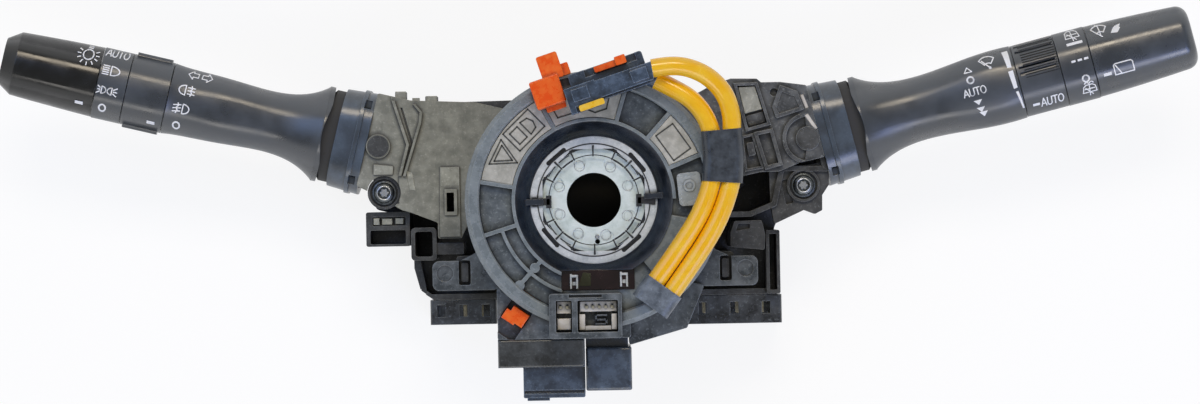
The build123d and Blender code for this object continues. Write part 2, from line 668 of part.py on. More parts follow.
with BuildPart() as stator_case:
    with BuildSketch(level(stator_z)):
        Circle(stator_r)
    extrude(amount=stator_top - stator_z)
    for side in (-1, 1):
        extrude(at(outline(sided(side, ear_right), 2.4), level(stator_z)), amount=5.0)
    # corner plate under the transit lock and the ledge at the lower right
    extrude(at(outline([(-36, -30), (-20, -30), (12.6, -40), (12.6, front_y), (-36, front_y)], 0.8),
               level(stator_z)), amount=stator_top - stator_z)
    extrude(at(outline([(12.0, -36), (12.0, front_y - 3.2), (33.4, front_y + 2.8), (40, -32), (30, -30)], 0.8),
               level(stator_z)), amount=13)
    with BuildSketch(level(stator_z)):
        Circle(stator_r - stator_wall)
    extrude(amount=stator_top - stator_z, mode=Mode.SUBTRACT)
    # slots for the bracket hooks, shallow gate marks and the transit-lock channel
    for side in (-1, 1):
        extrude(at(rounded(4.4, 9.2, 0.8, side * hook_x, hook_y), level(stator_z)), amount=6,
                mode=Mode.SUBTRACT)
        with Locations((side * (hook_x + 7.3), hook_y - 0.2, stator_z + 5)):
            Hole(3.0, depth=0.4)
    with BuildSketch(Plane(origin=(*polar(lock_r + 1.5, lock_angle), stator_top - 4.2),
                           x_dir=(*polar(1, lock_angle), 0), z_dir=(0, 0, 1))):
        Rectangle(15, 8.4 + 2 * body_gap)
    extrude(amount=8, mode=Mode.SUBTRACT)
save(stator_case, "stator_case")

with BuildPart() as stator_base:
    with BuildSketch(level(stator_z)):
        Circle(stator_r - stator_wall)
        Circle(drum_r + 1.2, mode=Mode.SUBTRACT)
    extrude(amount=2.0)
    with BuildSketch(level(stator_z + 2)):
        Circle(drum_r + 2.4)
        Circle(drum_r + 1.2, mode=Mode.SUBTRACT)
    extrude(amount=2.0)
save(stator_base, "stator_base")

cable_z = stator_z + 4.6
cable_top = 80.2
with BuildPart() as flat_cable:
    with BuildSketch(level(cable_z)):
        Circle(stator_r - stator_wall - 1.0)
        Circle(drum_r + 7.5, mode=Mode.SUBTRACT)
    extrude(amount=cable_top - cable_z)
save(flat_cable, "flat_cable")

mouth_y = front_y - 21.8
step_y = front_y - 10.4
with BuildPart() as stator_connector:
    extrude(at(outline([(-36, front_y), (-4.4, front_y), (-4.4, mouth_y), (-27, mouth_y), (-27, step_y),
                        (-36, step_y)], 0.6), level(56)), amount=21.5)
    extrude(at(outline([(-36, front_y), (-4.4, front_y), (-4.4, step_y), (-36, step_y)]), level(77)), amount=4.4)
    with BuildSketch(Plane(origin=(-15.7, mouth_y, 66.5), x_dir=(1, 0, 0), z_dir=(0, -1, 0))):
        RectangleRounded(18.4, 16.6, 0.8)
    extrude(amount=-11, mode=Mode.SUBTRACT)
    with BuildSketch(level(77.5)):
        with Locations((-15.7, mouth_y + 2.2)):
            Rectangle(22, 1.2)
    extrude(amount=-1.0, mode=Mode.SUBTRACT)
    extrude(at(outline([(-26.1, mouth_y), (-17.8, mouth_y), (-17.8, mouth_y - 2.2), (-26.1, mouth_y - 2.2)]),
               level(56)), amount=2.0)
save(stator_connector, "stator_connector")

with BuildPart() as stator_lid:
    extrude(at(outline([(-35.8, front_y - 0.2), (-4.6, front_y - 0.2), (-4.6, step_y + 0.2),
                        (-35.8, step_y + 0.2)], 0.8), level(81.4)),
            amount=1.8)
    fillet(stator_lid.faces().sort_by(Axis.Z)[-1].edges(), 0.6)
save(stator_lid, "stator_lid")

heater_y = front_y - 19.4
with BuildPart() as heater_connector:
    extrude(at(outline([(-4.0, front_y - 3.4), (12.8, front_y - 3.4), (12.8, heater_y), (-4.0, heater_y)], 0.8),
               level(56)), amount=24)
    extrude(at(outline([(-4.0, front_y - 0.2), (11.6, front_y - 0.2), (11.6, front_y - 3.6),
                        (-4.0, front_y - 3.6)]), level(56)), amount=18)
    with BuildSketch(Plane(origin=(4.4, heater_y, 68), x_dir=(1, 0, 0), z_dir=(0, -1, 0))):
        RectangleRounded(12.8, 19.6, 0.8)
    extrude(amount=-12, mode=Mode.SUBTRACT)
    fillet(heater_connector.faces().sort_by(Axis.Z)[-1].edges().filter_by(Axis.X), 1.2)
save(heater_connector, "heater_connector")

with BuildPart() as terminals:
    for spec in connectors.values():
        middle = spec["side"] * (spec["near"] + spec["far"]) / 2
        wide = spec["far"] - spec["near"]
        count = int((wide - 2 * shroud_wall - 5) // 3.2)
        root_y = connector_back - 4.2 - shroud_wall
        with BuildSketch(Plane(origin=(middle, root_y, shroud_top / 2), x_dir=(1, 0, 0), z_dir=(0, -1, 0))):
            with GridLocations(3.2, 9, count, 2):
                Rectangle(2 * pin_half, 2 * pin_half)
        extrude(amount=5.0)
    with BuildSketch(Plane(origin=(-15.7, mouth_y + 11, 66.5), x_dir=(1, 0, 0), z_dir=(0, -1, 0))):
        with GridLocations(2.8, 6, 5, 2):
            Rectangle(2 * pin_half, 2 * pin_half)
    extrude(amount=6.0)
    with BuildSketch(Plane(origin=(4.4, heater_y + 12, 68), x_dir=(1, 0, 0), z_dir=(0, -1, 0))):
        with GridLocations(3.2, 6, 3, 2):
            Rectangle(2 * pin_half, 2 * pin_half)
    extrude(amount=6.0)
save(terminals, "terminals")

lock_travel = 3.0
lock_plane = Plane(origin=(*polar(lock_r, lock_angle), stator_top - 4.2 + body_gap),
                   x_dir=(*polar(1, lock_angle), 0), z_dir=(0, 0, 1))
with BuildPart() as transit_lock:
    with BuildSketch(lock_plane):
        with BuildLine():
            Polyline((-2.6, -2.6), (-2.6, 4.2), (2.8, 4.2), (2.8, 1.2), (3.6, 1.2), (3.6, -4.2), (-0.4, -4.2),
                     (-0.4, -2.6), close=True)
        make_face()
    extrude(amount=7.0)
    fillet(transit_lock.faces().sort_by(Axis.Z)[-1].edges(), 0.3)
save(transit_lock, "transit_lock")

# ---------------------------------------------------------------- spiral cable: rotor side
sector_dividers = (22, 48, 73, 118, 170, 197, 228)
pockets_end = 250
socket_x = (-16.8, 9.4)
socket_y = (-49.8, -33.6)
socket_z = 88.0
socket_top = 99.5
window_x = (-12.2, 14.2)
window_y = (-32.6, -25.4)

with BuildPart() as rotor_disc:
    with BuildSketch(Plane.XZ):
        with BuildLine():
            Polyline(
                (face_inner_r, rotor_z + 1.2), (rotor_r - 1.8, rotor_z + 1.2), (rotor_r - 1.8, rotor_z),
                (rotor_r, rotor_z), (rotor_r, rotor_top - 1.8), (rotor_r - 1.6, rotor_top),
                (rim_inner_r + 0.6, rotor_top), (rim_inner_r, rotor_top - 0.6), (rim_inner_r, pocket_z),
                (face_inner_r, pocket_z), close=True,
            )
        make_face()
    revolve(axis=Axis.Z)
    # raised sector plates and the ribs between the pockets
    with BuildSketch(level(pocket_z)):
        add(sector(face_inner_r, rim_inner_r, 73.6, 117.4))
        add(sector(face_inner_r, rim_inner_r, 118.6, 169.6))
        add(sector(face_inner_r, rim_inner_r, 22.6, 47.6))
        add(sector(face_inner_r, rim_inner_r, -52, -12))
    extrude(amount=face_z - pocket_z)
    with BuildSketch(level(pocket_z)):
        add(sector(face_inner_r, face_inner_r + 1.2, 0, pockets_end))
        for angle in sector_dividers:
            with Locations(polar((face_inner_r + rim_inner_r) / 2 + 0.5, angle)):
                Rectangle(rim_inner_r - face_inner_r, 1.5, rotation=angle)
        add(sector(34.4, 35.6, 198, pockets_end))
        with Locations(polar(32.6, 228), polar(rim_inner_r - 0.6, 228)):
            Circle(1.8)
    extrude(amount=face_z - pocket_z + 0.5)
    # seat of the socket housing, ribbon window and transit-lock notch
    with BuildSketch(level(socket_z)):
        with Locations(((socket_x[0] + socket_x[1]) / 2, (socket_y[0] + socket_y[1]) / 2)):
            Rectangle(socket_x[1] - socket_x[0], socket_y[1] - socket_y[0])
    extrude(amount=10, mode=Mode.SUBTRACT)
    with BuildSketch(level(rotor_z)):
        with Locations(((window_x[0] + window_x[1]) / 2, (window_y[0] + window_y[1]) / 2)):
            Rectangle(window_x[1] - window_x[0], window_y[1] - window_y[0])
    extrude(amount=10, mode=Mode.SUBTRACT)
    with BuildSketch(Plane(origin=(*polar(rotor_r - 1.4, lock_angle), rotor_z - 1),
                           x_dir=(*polar(1, lock_angle), 0), z_dir=(0, 0, 1))):
        Rectangle(9.0, 8.4 + 3 * body_gap)
    extrude(amount=5.0, mode=Mode.SUBTRACT)
save(rotor_disc, "rotor_disc")

with BuildPart() as hub_sleeve:
    with BuildSketch(Plane.XZ):
        with BuildLine():
            Polyline((drum_inner_r, drum_z), (drum_r, drum_z), (drum_r, funnel_z - 2.2), (face_inner_r, rotor_z + 1.2),
                     (face_inner_r, face_z + 0.5))
            Spline((face_inner_r, face_z + 0.5), (funnel_r + 2.9, face_z - 2.0), (funnel_r, funnel_z + 0.8))
            Polyline((funnel_r, funnel_z + 0.8), (funnel_r, snap_ring_z), (drum_inner_r, snap_ring_z),
                     (drum_inner_r, drum_z))
        make_face()
    revolve(axis=Axis.Z)
    with BuildSketch(level(rotor_z + 1.2)):
        with Locations(((window_x[0] + window_x[1]) / 2, (window_y[0] + window_y[1]) / 2)):
            Rectangle(window_x[1] - window_x[0], window_y[1] - window_y[0])
    extrude(amount=10, mode=Mode.SUBTRACT)
    # two lobes at the foot of the drum return the turn-signal lever to rest
    with BuildSketch(level(drum_z)):
        for angle in (90, 270):
            add(sector(drum_inner_r + 1, lobe_r, angle - 11, angle + 11))
    extrude(amount=cam_tall)
    # keys that carry the hub plate, left and right
    for angle in (3, 181):
        with BuildSketch(Plane(origin=(*polar(21.6, angle), snap_ring_z + key_seat),
                               x_dir=(*polar(1, angle), 0), z_dir=(0, 0, 1))):
            Rectangle(6.6, 2.0)
        extrude(amount=2.8)
save(hub_sleeve, "hub_sleeve")

with BuildPart() as snap_ring:
    with BuildSketch(level(snap_ring_z)):
        Circle(funnel_r - 0.1)
        RegularPolygon(18.6, 8, major_radius=False, rotation=22.5, mode=Mode.SUBTRACT)
        with PolarLocations(20.9, 4, start_angle=40):
            SlotOverall(9.0, 1.6, rotation=90, mode=Mode.SUBTRACT)
    extrude(amount=snap_ring_thick)
    with BuildSketch(level(snap_ring_z + key_seat)):
        with Locations(Location((*polar(21.6, 3), 0), (0, 0, 3)), Location((*polar(21.6, 181), 0), (0, 0, 1))):
            Rectangle(7.2, 2.0)
    extrude(amount=snap_ring_thick, mode=Mode.SUBTRACT)
save(snap_ring, "snap_ring")

with BuildPart() as hub_plate:
    with BuildSketch(level(hub_plate_z)):
        Circle(drum_inner_r)
        Circle(shaft_hole_r, mode=Mode.SUBTRACT)
        with Locations((1.1, -15.2)):
            Circle(0.9, mode=Mode.SUBTRACT)
    extrude(amount=hub_plate_thick)
    with Locations(Location((0, 0, hub_plate_z + hub_plate_thick))):
        with PolarLocations(14.4, 8, start_angle=20):
            Hole(2.1, depth=0.35)
save(hub_plate, "hub_plate")

with BuildPart() as cable_window:
    with BuildSketch(level(rotor_z + 1.2)):
        with Locations(((window_x[0] + window_x[1]) / 2, (window_y[0] + window_y[1]) / 2)):
            Rectangle(window_x[1] - window_x[0], window_y[1] - window_y[0])
    extrude(amount=2.8)
    with BuildSketch(level(rotor_z + 4.0)):
        with Locations((-7.7, -29.6), (10.4, -29.2)):
            Rectangle(2.4, 4.6)
    extrude(amount=2.2)
save(cable_window, "cable_window")

socket_mid = ((socket_x[0] + socket_x[1]) / 2, (socket_y[0] + socket_y[1]) / 2)
small_socket = (-11.5, -41.8, 5.8, 11.4)
large_socket = (0.7, -41.8, 14.6, 11.4)
with BuildPart() as rotor_socket:
    extrude(at(rounded(socket_x[1] - socket_x[0], socket_y[1] - socket_y[0], 1.0, *socket_mid),
               level(socket_z)), amount=socket_top - socket_z)
    for x, y, wide, tall in (small_socket, large_socket):
        extrude(at(rounded(wide, tall, 0.5, x, y), level(socket_z + 2.4)), amount=20, mode=Mode.SUBTRACT)
    with BuildSketch(level(socket_top)):
        with Locations((socket_mid[0], socket_y[1] - 0.9)):
            Rectangle(12, 1.0)
    extrude(amount=-1.2, mode=Mode.SUBTRACT)
save(rotor_socket, "rotor_socket")

with BuildPart() as socket_pins:
    with BuildSketch(level(socket_z + 2.4)):
        with Locations((small_socket[0], -38.6)):
            with GridLocations(2.4, 1, 2, 1):
                Rectangle(1.0, 1.0)
        with Locations((large_socket[0] + 0.6, -38.6)):
            with GridLocations(2.3, 1, 5, 1):
                Rectangle(1.0, 1.0)
    extrude(amount=5.6)
save(socket_pins, "socket_pins")

with BuildPart() as rotor_clip:
    with BuildSketch(level(pocket_z)):
        with Locations(Location((*polar((face_inner_r + rim_inner_r) / 2 - 0.1, 5.5), 0), (0, 0, 5.5))):
            RectangleRounded(rim_inner_r - face_inner_r - 4.4, 12.0, 1.6)
    extrude(amount=4.4)
    with BuildSketch(level(pocket_z + 4.4)):
        with Locations(Location((*polar((face_inner_r + rim_inner_r) / 2 - 0.1, 7.5), 0), (0, 0, 5.5))):
            Circle(2.2)
            Circle(1.4, mode=Mode.SUBTRACT)
    extrude(amount=0.5)
save(rotor_clip, "rotor_clip")

# ---------------------------------------------------------------- airbag leads and their connectors
lead_a_points = [
    (27.7, -33.6, lead_z), (36.9, -21.2, lead_z), (45.3, -7.7, lead_z), (49.95, 5.5, lead_z),
    (50.65, 14.2, lead_z), (50.15, 21.9, lead_z), (50.4, 29.5, 96.7), (48.1, 37.2, 98.1), (42.7, 43.3, 99.7),
    (35.6, 46.9, 101.0), (28.2, 47.9, 101.8), (21.7, 46.8, 101.8),
]
lead_b_points = [
    (22.0, -29.45, lead_z), (31.1, -17.2, lead_z), (39.3, -4.4, lead_z), (43.05, 6.95, lead_z),
    (43.65, 14.6, lead_z), (42.85, 24.4, lead_z), (40.1, 30.85, lead_z), (35.5, 36.15, lead_z),
    (29.4, 39.75, 95.8), (23.4, 42.9, 95.6),
]
arc_share = 0.45  # part of the shorter run that each arc takes up
lead_a_rest = tuple(Vector(*lead_a_points[-1]) - Vector(*lead_a_points[-2]))
lead_b_rest = tuple(Vector(*lead_b_points[-1]) - Vector(*lead_b_points[-2]))


def bend_radii(name, points):
    """Arc radius at each inner point of a lead, printed for the record."""
    radii = []
    for before, here, after in zip(points, points[1:], points[2:]):
        first = Vector(*here) - Vector(*before)
        second = Vector(*after) - Vector(*here)
        turn = first.get_angle(second)
        radii.append(arc_share * min(first.length, second.length) / tan(radians(turn) / 2))
    print(name, "bend radii", [round(value, 1) for value in radii])
    return radii


for name, points in (("lead_a", lead_a_points), ("lead_b", lead_b_points)):
    start = Vector(*points[0])
    first_run = Vector(*points[1]) - start
    with BuildPart() as lead:
        with BuildLine() as route:
            FilletPolyline(*points, radius=bend_radii(name, points))
        with BuildSketch(Plane(origin=start, z_dir=first_run)):
            Circle(lead_r)
        sweep()
    long = sum(edge.length for edge in route.edges())
    expected = pi * lead_r**2 * long
    print(name, "length", round(long, 1), "volume share", round(lead.part.volume / expected, 4))
    save(lead, name)
    if name == "lead_a":
        lead_a = lead
    else:
        lead_b = lead

# boot at the rotor, square to the two leads
boot_mid = (Vector(*lead_a_points[0]) + Vector(*lead_b_points[0])) * 0.5
boot_run = (Vector(*lead_a_points[1]) - Vector(*lead_a_points[0])).normalized()
boot_long = 9.0
with BuildPart() as lead_boot:
    with BuildSketch(Plane(origin=boot_mid, x_dir=boot_run.cross(Vector(0, 0, 1)), z_dir=boot_run)):
        RectangleRounded(4 * lead_r + 1.6, 2 * lead_r + 1.2, 3.4)
    extrude(amount=-boot_long)
    with BuildSketch(level(rotor_top)):
        with Locations(Location((boot_mid.X - boot_run.X * 5, boot_mid.Y - boot_run.Y * 5, 0),
                                (0, 0, degrees(atan2(boot_run.Y, boot_run.X))))):
            RectangleRounded(6, 10, 1)
    extrude(amount=2.4)
    add(lead_a.part, mode=Mode.SUBTRACT)
    add(lead_b.part, mode=Mode.SUBTRACT)
save(lead_boot, "lead_boot")

with BuildPart() as lead_wrap:
    wrap_points = [(46.4, 5.6, lead_z), (47.15, 14.5, lead_z), (46.45, 24.4, lead_z)]
    with BuildLine():
        FilletPolyline(*wrap_points, radius=40)
    with BuildSketch(Plane(origin=wrap_points[0], x_dir=(1, 0, 0),
                           z_dir=Vector(*wrap_points[1]) - Vector(*wrap_points[0]))):
        RectangleRounded(4 * lead_r + 1.2, 2 * lead_r + 0.8, 3.4)
    sweep()
    add(lead_a.part, mode=Mode.SUBTRACT)
    add(lead_b.part, mode=Mode.SUBTRACT)
save(lead_wrap, "lead_wrap")

plug_angle = 18.0  # both connectors lie at this angle to X
end_a = Vector(*lead_a_points[-1])
run_a = Vector(*lead_a_rest).normalized()
end_b = Vector(*lead_b_points[-1])
run_b = Vector(*lead_b_rest).normalized()
plug_end = end_a


def plug_plane(height):
    """Horizontal plane at the upper connector's wire end, x pointing back at the lead."""
    return Plane(origin=(plug_end.X, plug_end.Y, height),
                 x_dir=(cos(radians(plug_angle)), sin(radians(plug_angle)), 0), z_dir=(0, 0, 1))


plug_b_z = 92.0
plug_b_tall = 6.6
plug_a_z = 99.2
plug_a_tall = 6.0
strip_seat = 2.2  # depth of the locking strips' seats
plug_a_top = plug_a_z + plug_a_tall
plug_b_top = plug_b_z + plug_b_tall
strip_a = (-24.6, -5.4)  # middle of the yellow strip on the upper connector
strip_b = (-13.7, 6.2)  # middle of the slider on the lower connector

with BuildPart() as squib_connector_a:
    with BuildSketch(plug_plane(plug_a_z)):
        with BuildLine():
            Polyline((3, -4.0), (3, 2.4), (-21, 2.4), (-21, 3.0), (-32.5, 3.0), (-32.5, -6.6), (-21.4, -6.6),
                     (-20.4, -4.0), close=True)
        make_face()
    extrude(amount=plug_a_tall)
    with BuildSketch(plug_plane(plug_a_top)):
        with Locations((-5, -0.8), (-27.2, -0.4)):
            Rectangle(6, 4.4)
    extrude(amount=0.6)
    with BuildSketch(plug_plane(plug_a_top)):
        with Locations((strip_a[0], strip_a[1] - 0.4)):
            Rectangle(11.4, 3.0)
    extrude(amount=-strip_seat, mode=Mode.SUBTRACT)
    split(bisect_by=Plane(origin=end_a, z_dir=run_a), keep=Keep.TOP)
save(squib_connector_a, "squib_connector_a")

with BuildPart() as squib_connector_b:
    extrude(at(rounded(28, 12.4, 1.0, -15.5, 1.4), plug_plane(plug_b_z)), amount=plug_b_tall)
    with BuildSketch(Plane(origin=end_b, z_dir=run_b)):
        Circle(lead_r)
    extrude(amount=8)
    with BuildSketch(plug_plane(plug_b_top)):
        with Locations(strip_b):
            Rectangle(19.4, 2.8)
    extrude(amount=-strip_seat, mode=Mode.SUBTRACT)
    split(bisect_by=Plane(origin=end_b, z_dir=run_b), keep=Keep.TOP)
save(squib_connector_b, "squib_connector_b")

with BuildPart() as squib_plug:
    extrude(at(rounded(11.0, 10.4, 0.8, -38.1, 4.3), plug_plane(plug_b_z)), amount=9.4)
    extrude(at(rounded(7.8, 9.4, 0.8, -34.4, 12.6), plug_plane(plug_b_z)), amount=8.2)
    extrude(at(rounded(5.4, 4.4, 0.5, -30.6, 10.2), plug_plane(plug_b_z)), amount=6.0)
    extrude(at(rounded(7.4, 2.4, 0.5, -36.9, -1.6), plug_plane(plug_b_z)), amount=4.0)
    fillet(squib_plug.faces().filter_by(Plane.XY).sort_by(Axis.Z)[-1].edges(), 0.5)
save(squib_plug, "squib_plug")

with BuildPart() as connector_lock_a:
    extrude(at(rounded(9.4, 2.2, 0.6, *strip_a), plug_plane(plug_a_top - strip_seat + 0.02)), amount=2.8)
save(connector_lock_a, "connector_lock_a")

with BuildPart() as connector_lock_b:
    extrude(at(rounded(12.0, 2.2, 0.4, *strip_b), plug_plane(plug_b_top - strip_seat + 0.02)), amount=5.0)
    extrude(at(rounded(4.0, 3.2, 0.4, strip_b[0] + 4, strip_b[1] + 0.4), plug_plane(plug_b_top + 0.4)),
            amount=4.0)
save(connector_lock_b, "connector_lock_b")

# ---------------------------------------------------------------- stalks
frame_half = 11.5  # half height of the swing frame
frame_wide = 7.6
frame_in = -6.0
frame_out = 4.5
cheek_gap = 0.3
cheek_inner = swing_hub_half + cheek_gap
frame_plate = 2.6
plunger_r = 2.0
plunger_z = pivot_z - 6.6
plunger_tip = detent_r - 0.5
tail_end = 26.0
journal_top = case_top + cover_thick + 0.6
journal_low = plate_top + 0.3

for side, name in ((-1, "turn"), (1, "wiper")):
    with BuildPart() as holder:
        with BuildSketch(swing_plane(side, pivot_z - frame_half)):
            with Locations(((frame_in + frame_out) / 2, 0)):
                Rectangle(frame_out - frame_in, 2 * frame_wide)
        extrude(amount=2 * frame_half)
        # window for the lever's hub, then the tail that carries the detent plunger
        with BuildSketch(swing_plane(side, pivot_z - frame_half + frame_plate)):
            Rectangle(60, 2 * cheek_inner)
        extrude(amount=2 * (frame_half - frame_plate), mode=Mode.SUBTRACT)
        with BuildSketch(swing_plane(side, pivot_z - frame_half)):
            with Locations(((frame_in - tail_end + 2) / 2, 0)):
                Rectangle(tail_end - 2 + frame_in, 9)
        extrude(amount=frame_plate)
        with BuildSketch(swing_plane(side, pivot_z - frame_half)):
            with Locations((-tail_end + 4, 0)):
                RectangleRounded(8, 9, 1)
        extrude(amount=8.2)
        with BuildSketch(swing_plane(side, journal_low)):
            Circle(journal_r)
        extrude(amount=pivot_z - frame_half - journal_low)
        with BuildSketch(swing_plane(side, pivot_z + frame_half)):
            Circle(journal_r)
        extrude(amount=journal_top - pivot_z - frame_half)
        bore = swing_plane(side, plunger_z)
        with BuildSketch(Plane(origin=bore.origin - bore.x_dir * (tail_end - 7), z_dir=-bore.x_dir)):
            Circle(plunger_r + running_gap)
        extrude(amount=12, mode=Mode.SUBTRACT)
        with BuildSketch(Plane(origin=bore.origin + Vector(0, 0, pivot_z - plunger_z) - bore.y_dir * 20,
                               z_dir=bore.y_dir)):
            Circle(cross_pin_r)
        extrude(amount=40, mode=Mode.SUBTRACT)
        fillet(holder.edges().filter_by(Axis.Z).sort_by(SortBy.LENGTH)[-1:], 0.8)
    save(holder, f"{name}_holder")

    with BuildPart() as plunger:
        with BuildSketch(Plane(origin=bore.origin - bore.x_dir * (tail_end - 4), z_dir=-bore.x_dir)):
            Circle(plunger_r)
        extrude(amount=plunger_tip - tail_end + 4)
        fillet(plunger.faces().sort_by(Axis((0, 0, 0), -bore.x_dir))[-1].edges(), 1.4)
    save(plunger, f"{name}_plunger")

    with BuildPart() as cross_pin:
        with BuildSketch(Plane(origin=bore.origin + Vector(0, 0, pivot_z - plunger_z)
                               - bore.y_dir * frame_wide, z_dir=bore.y_dir)):
            Circle(cross_pin_r)
        extrude(amount=2 * frame_wide)
    save(cross_pin, f"{name}_cross_pin")

with BuildPart() as cancel_pawl:
    with BuildSketch(level(pawl_z)):
        with BuildLine():
            Polyline((-27.2, pawl_y - 1.2), (-27.2, pawl_y + 1.2), (-29.4, pawl_y + pawl_wide / 2),
                     (-41, pawl_y + pawl_wide / 2), (-41, pawl_y - pawl_wide / 2),
                     (-29.4, pawl_y - pawl_wide / 2), close=True)
        make_face()
        with Locations((-36.5, pawl_y)):
            SlotOverall(6, 2.4, mode=Mode.SUBTRACT)
    extrude(amount=pawl_tall)
save(cancel_pawl, "cancel_pawl")


def stalk_section(side, distance, wide, deep, corner):
    """Rounded section of a stalk, square to its axis."""
    return at(rounded(wide, deep, corner), stalk_plane(side, distance))


def lever(side, sections, ring_start, tube_end):
    """Stalk body: flange, swept neck, grip, pivot hub, contact tail and the tube under the rings."""
    with BuildPart() as body:
        add(extrude(stalk_section(side, flange_start, flange_wide, flange_deep, 14), amount=2.0))
        loft([stalk_section(side, *values) for values in sections])
        with Locations((side * pivot_x, pivot_y, pivot_z)):
            Sphere(flange_sphere, mode=Mode.SUBTRACT)
        with BuildSketch(stalk_plane(side, 2)):
            Circle(neck_r)
        extrude(amount=30)
        with BuildSketch(cross_plane(side, -swing_hub_half)):
            Circle(swing_hub_r)
        extrude(amount=2 * swing_hub_half)
        with BuildSketch(stalk_plane(side, -4)):
            RectangleRounded(7, 4.4, 1)
        extrude(amount=-12)
        with BuildSketch(stalk_plane(side, ring_start)):
            Circle(tube_r)
        extrude(amount=tube_end - ring_start)
        with BuildSketch(cross_plane(side, -20)):
            Circle(cross_pin_r + running_gap)
        extrude(amount=40, mode=Mode.SUBTRACT)
        with BuildSketch(stalk_plane(side, 9)):
            Circle(shaft_r + running_gap)
        extrude(amount=tube_end, mode=Mode.SUBTRACT)
    return body


def collar_ring(side, start, end, wide, deep, corner, bore):
    """Plain ring on the stalk's tube between two distances."""
    with BuildPart() as ring:
        add(extrude(stalk_section(side, start, wide, deep, corner), amount=end - start))
        with BuildSketch(stalk_plane(side, start)):
            Circle(bore)
        extrude(amount=end - start, mode=Mode.SUBTRACT)
    return ring


light_sections = [
    (flange_start + 2, flange_wide - 0.4, flange_deep - 0.4, 13.5), (29, 29.0, 24.6, 10.5), (37, 24.2, 20.4, 8.8),
    (48, neck_wide, neck_deep, 8.0), (64, 25.0, 20.6, 8.4), (light_ring_start, grip_wide, grip_deep, 9.0),
]
wiper_sections = [
    (flange_start + 2, flange_wide - 0.4, flange_deep - 0.4, 13.5), (30, 29.0, 24.4, 10.5), (39, 24.8, 20.8, 9.0),
    (52, neck_wide + 1.4, neck_deep + 0.8, 8.4), (wiper_ring_start, grip_wide + 0.8, grip_deep, 9.0),
]

light_lever = lever(-1, light_sections, light_ring_start, light_label_end)
save(light_lever, "light_lever")
wiper_lever = lever(1, wiper_sections, wiper_ring_start, wiper_label_end)
save(wiper_lever, "wiper_lever")

with BuildPart() as fog_ring:
    add(collar_ring(-1, light_ring_start + ring_gap, light_ring_end - ring_gap, grip_wide, grip_deep, 9.0,
                    tube_r + running_gap).part)
    for sign in (-1, 1):
        with BuildSketch(stalk_plane(-1, light_ring_start + 1.4)):
            with Locations((sign * (grip_wide / 2), 0)):
                RectangleRounded(1.8, 9.5, 0.8)
        extrude(amount=light_ring_end - light_ring_start - 2.8)
save(fog_ring, "fog_ring")

light_label_ring = collar_ring(-1, light_ring_end, light_label_end - ring_gap, grip_wide, grip_deep, 9.0, tube_r)
save(light_label_ring, "light_label_ring")

wiper_label_ring = collar_ring(1, wiper_ring_end, wiper_label_end - ring_gap, grip_wide + 0.6, grip_deep, 9.0,
                               tube_r)
save(wiper_label_ring, "wiper_label_ring")

rib_start = wiper_ring_start + ring_gap
rib_long = wiper_ring_end - wiper_ring_start - 2 * ring_gap
with BuildPart() as interval_ring:
    add(extrude(stalk_section(1, rib_start, grip_wide + 0.4, grip_deep, 9.0), amount=rib_long))
    # fine ribs round the upper half, cut as grooves
    with BuildSketch(stalk_plane(1, rib_start + 1)):
        for count in range(13):
            angle = -78 + 13 * count
            reach = 13.6 if abs(angle) < 40 else 12.9 - (abs(angle) - 40) * 0.055
            with Locations(Location((*polar(reach, angle), 0), (0, 0, angle))):
                Rectangle(1.2, 1.3)
    extrude(amount=rib_long - 2, mode=Mode.SUBTRACT)
    with BuildSketch(stalk_plane(1, rib_start)):
        Circle(tube_r + running_gap)
    extrude(amount=rib_long, mode=Mode.SUBTRACT)
save(interval_ring, "interval_ring")

knob_socket = 8.0
with BuildPart() as light_knob:
    loft([stalk_section(-1, light_label_end, 26.6, 21.8, 9.0), stalk_section(-1, 126, 25.4, 20.8, 8.6),
          stalk_section(-1, light_tip - 5, 24.0, 19.6, 8.0)])
    loft([stalk_section(-1, light_tip - 5, 24.0, 19.6, 8.0), stalk_section(-1, light_tip, 17.4, 13.4, 5.0)],
         ruled=True)
    with BuildSketch(stalk_plane(-1, light_label_end)):
        Circle(shaft_r)
    extrude(amount=knob_socket, mode=Mode.SUBTRACT)
save(light_knob, "light_knob")

with BuildPart() as rear_wiper_knob:
    loft([stalk_section(1, wiper_label_end, 27.2, 21.8, 9.0), stalk_section(1, 130, 26.0, 20.6, 8.6),
          stalk_section(1, wiper_tip, 23.6, 18.8, 8.0)])
    fillet(rear_wiper_knob.faces().sort_by(Axis((0, 0, 0), stalk_plane(1, 0).z_dir))[-1].edges(), 4.5)
    with BuildSketch(stalk_plane(1, wiper_label_end)):
        Circle(shaft_r)
    extrude(amount=knob_socket, mode=Mode.SUBTRACT)
save(rear_wiper_knob, "rear_wiper_knob")

for side, name, end in ((-1, "light_shaft", light_label_end), (1, "wiper_shaft", wiper_label_end)):
    with BuildPart() as shaft:
        with BuildSketch(stalk_plane(side, 11)):
            Circle(shaft_r)
        extrude(amount=end + knob_socket - 11)
    save(shaft, name)
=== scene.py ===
"""Combination stalk switch: finishes, airbag leads, printing and fine detail on the fixed CAD frame."""
from math import atan2, cos, degrees, pi, radians, sin

import bmesh
import bpy
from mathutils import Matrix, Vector
from mathutils.bvhtree import BVHTree


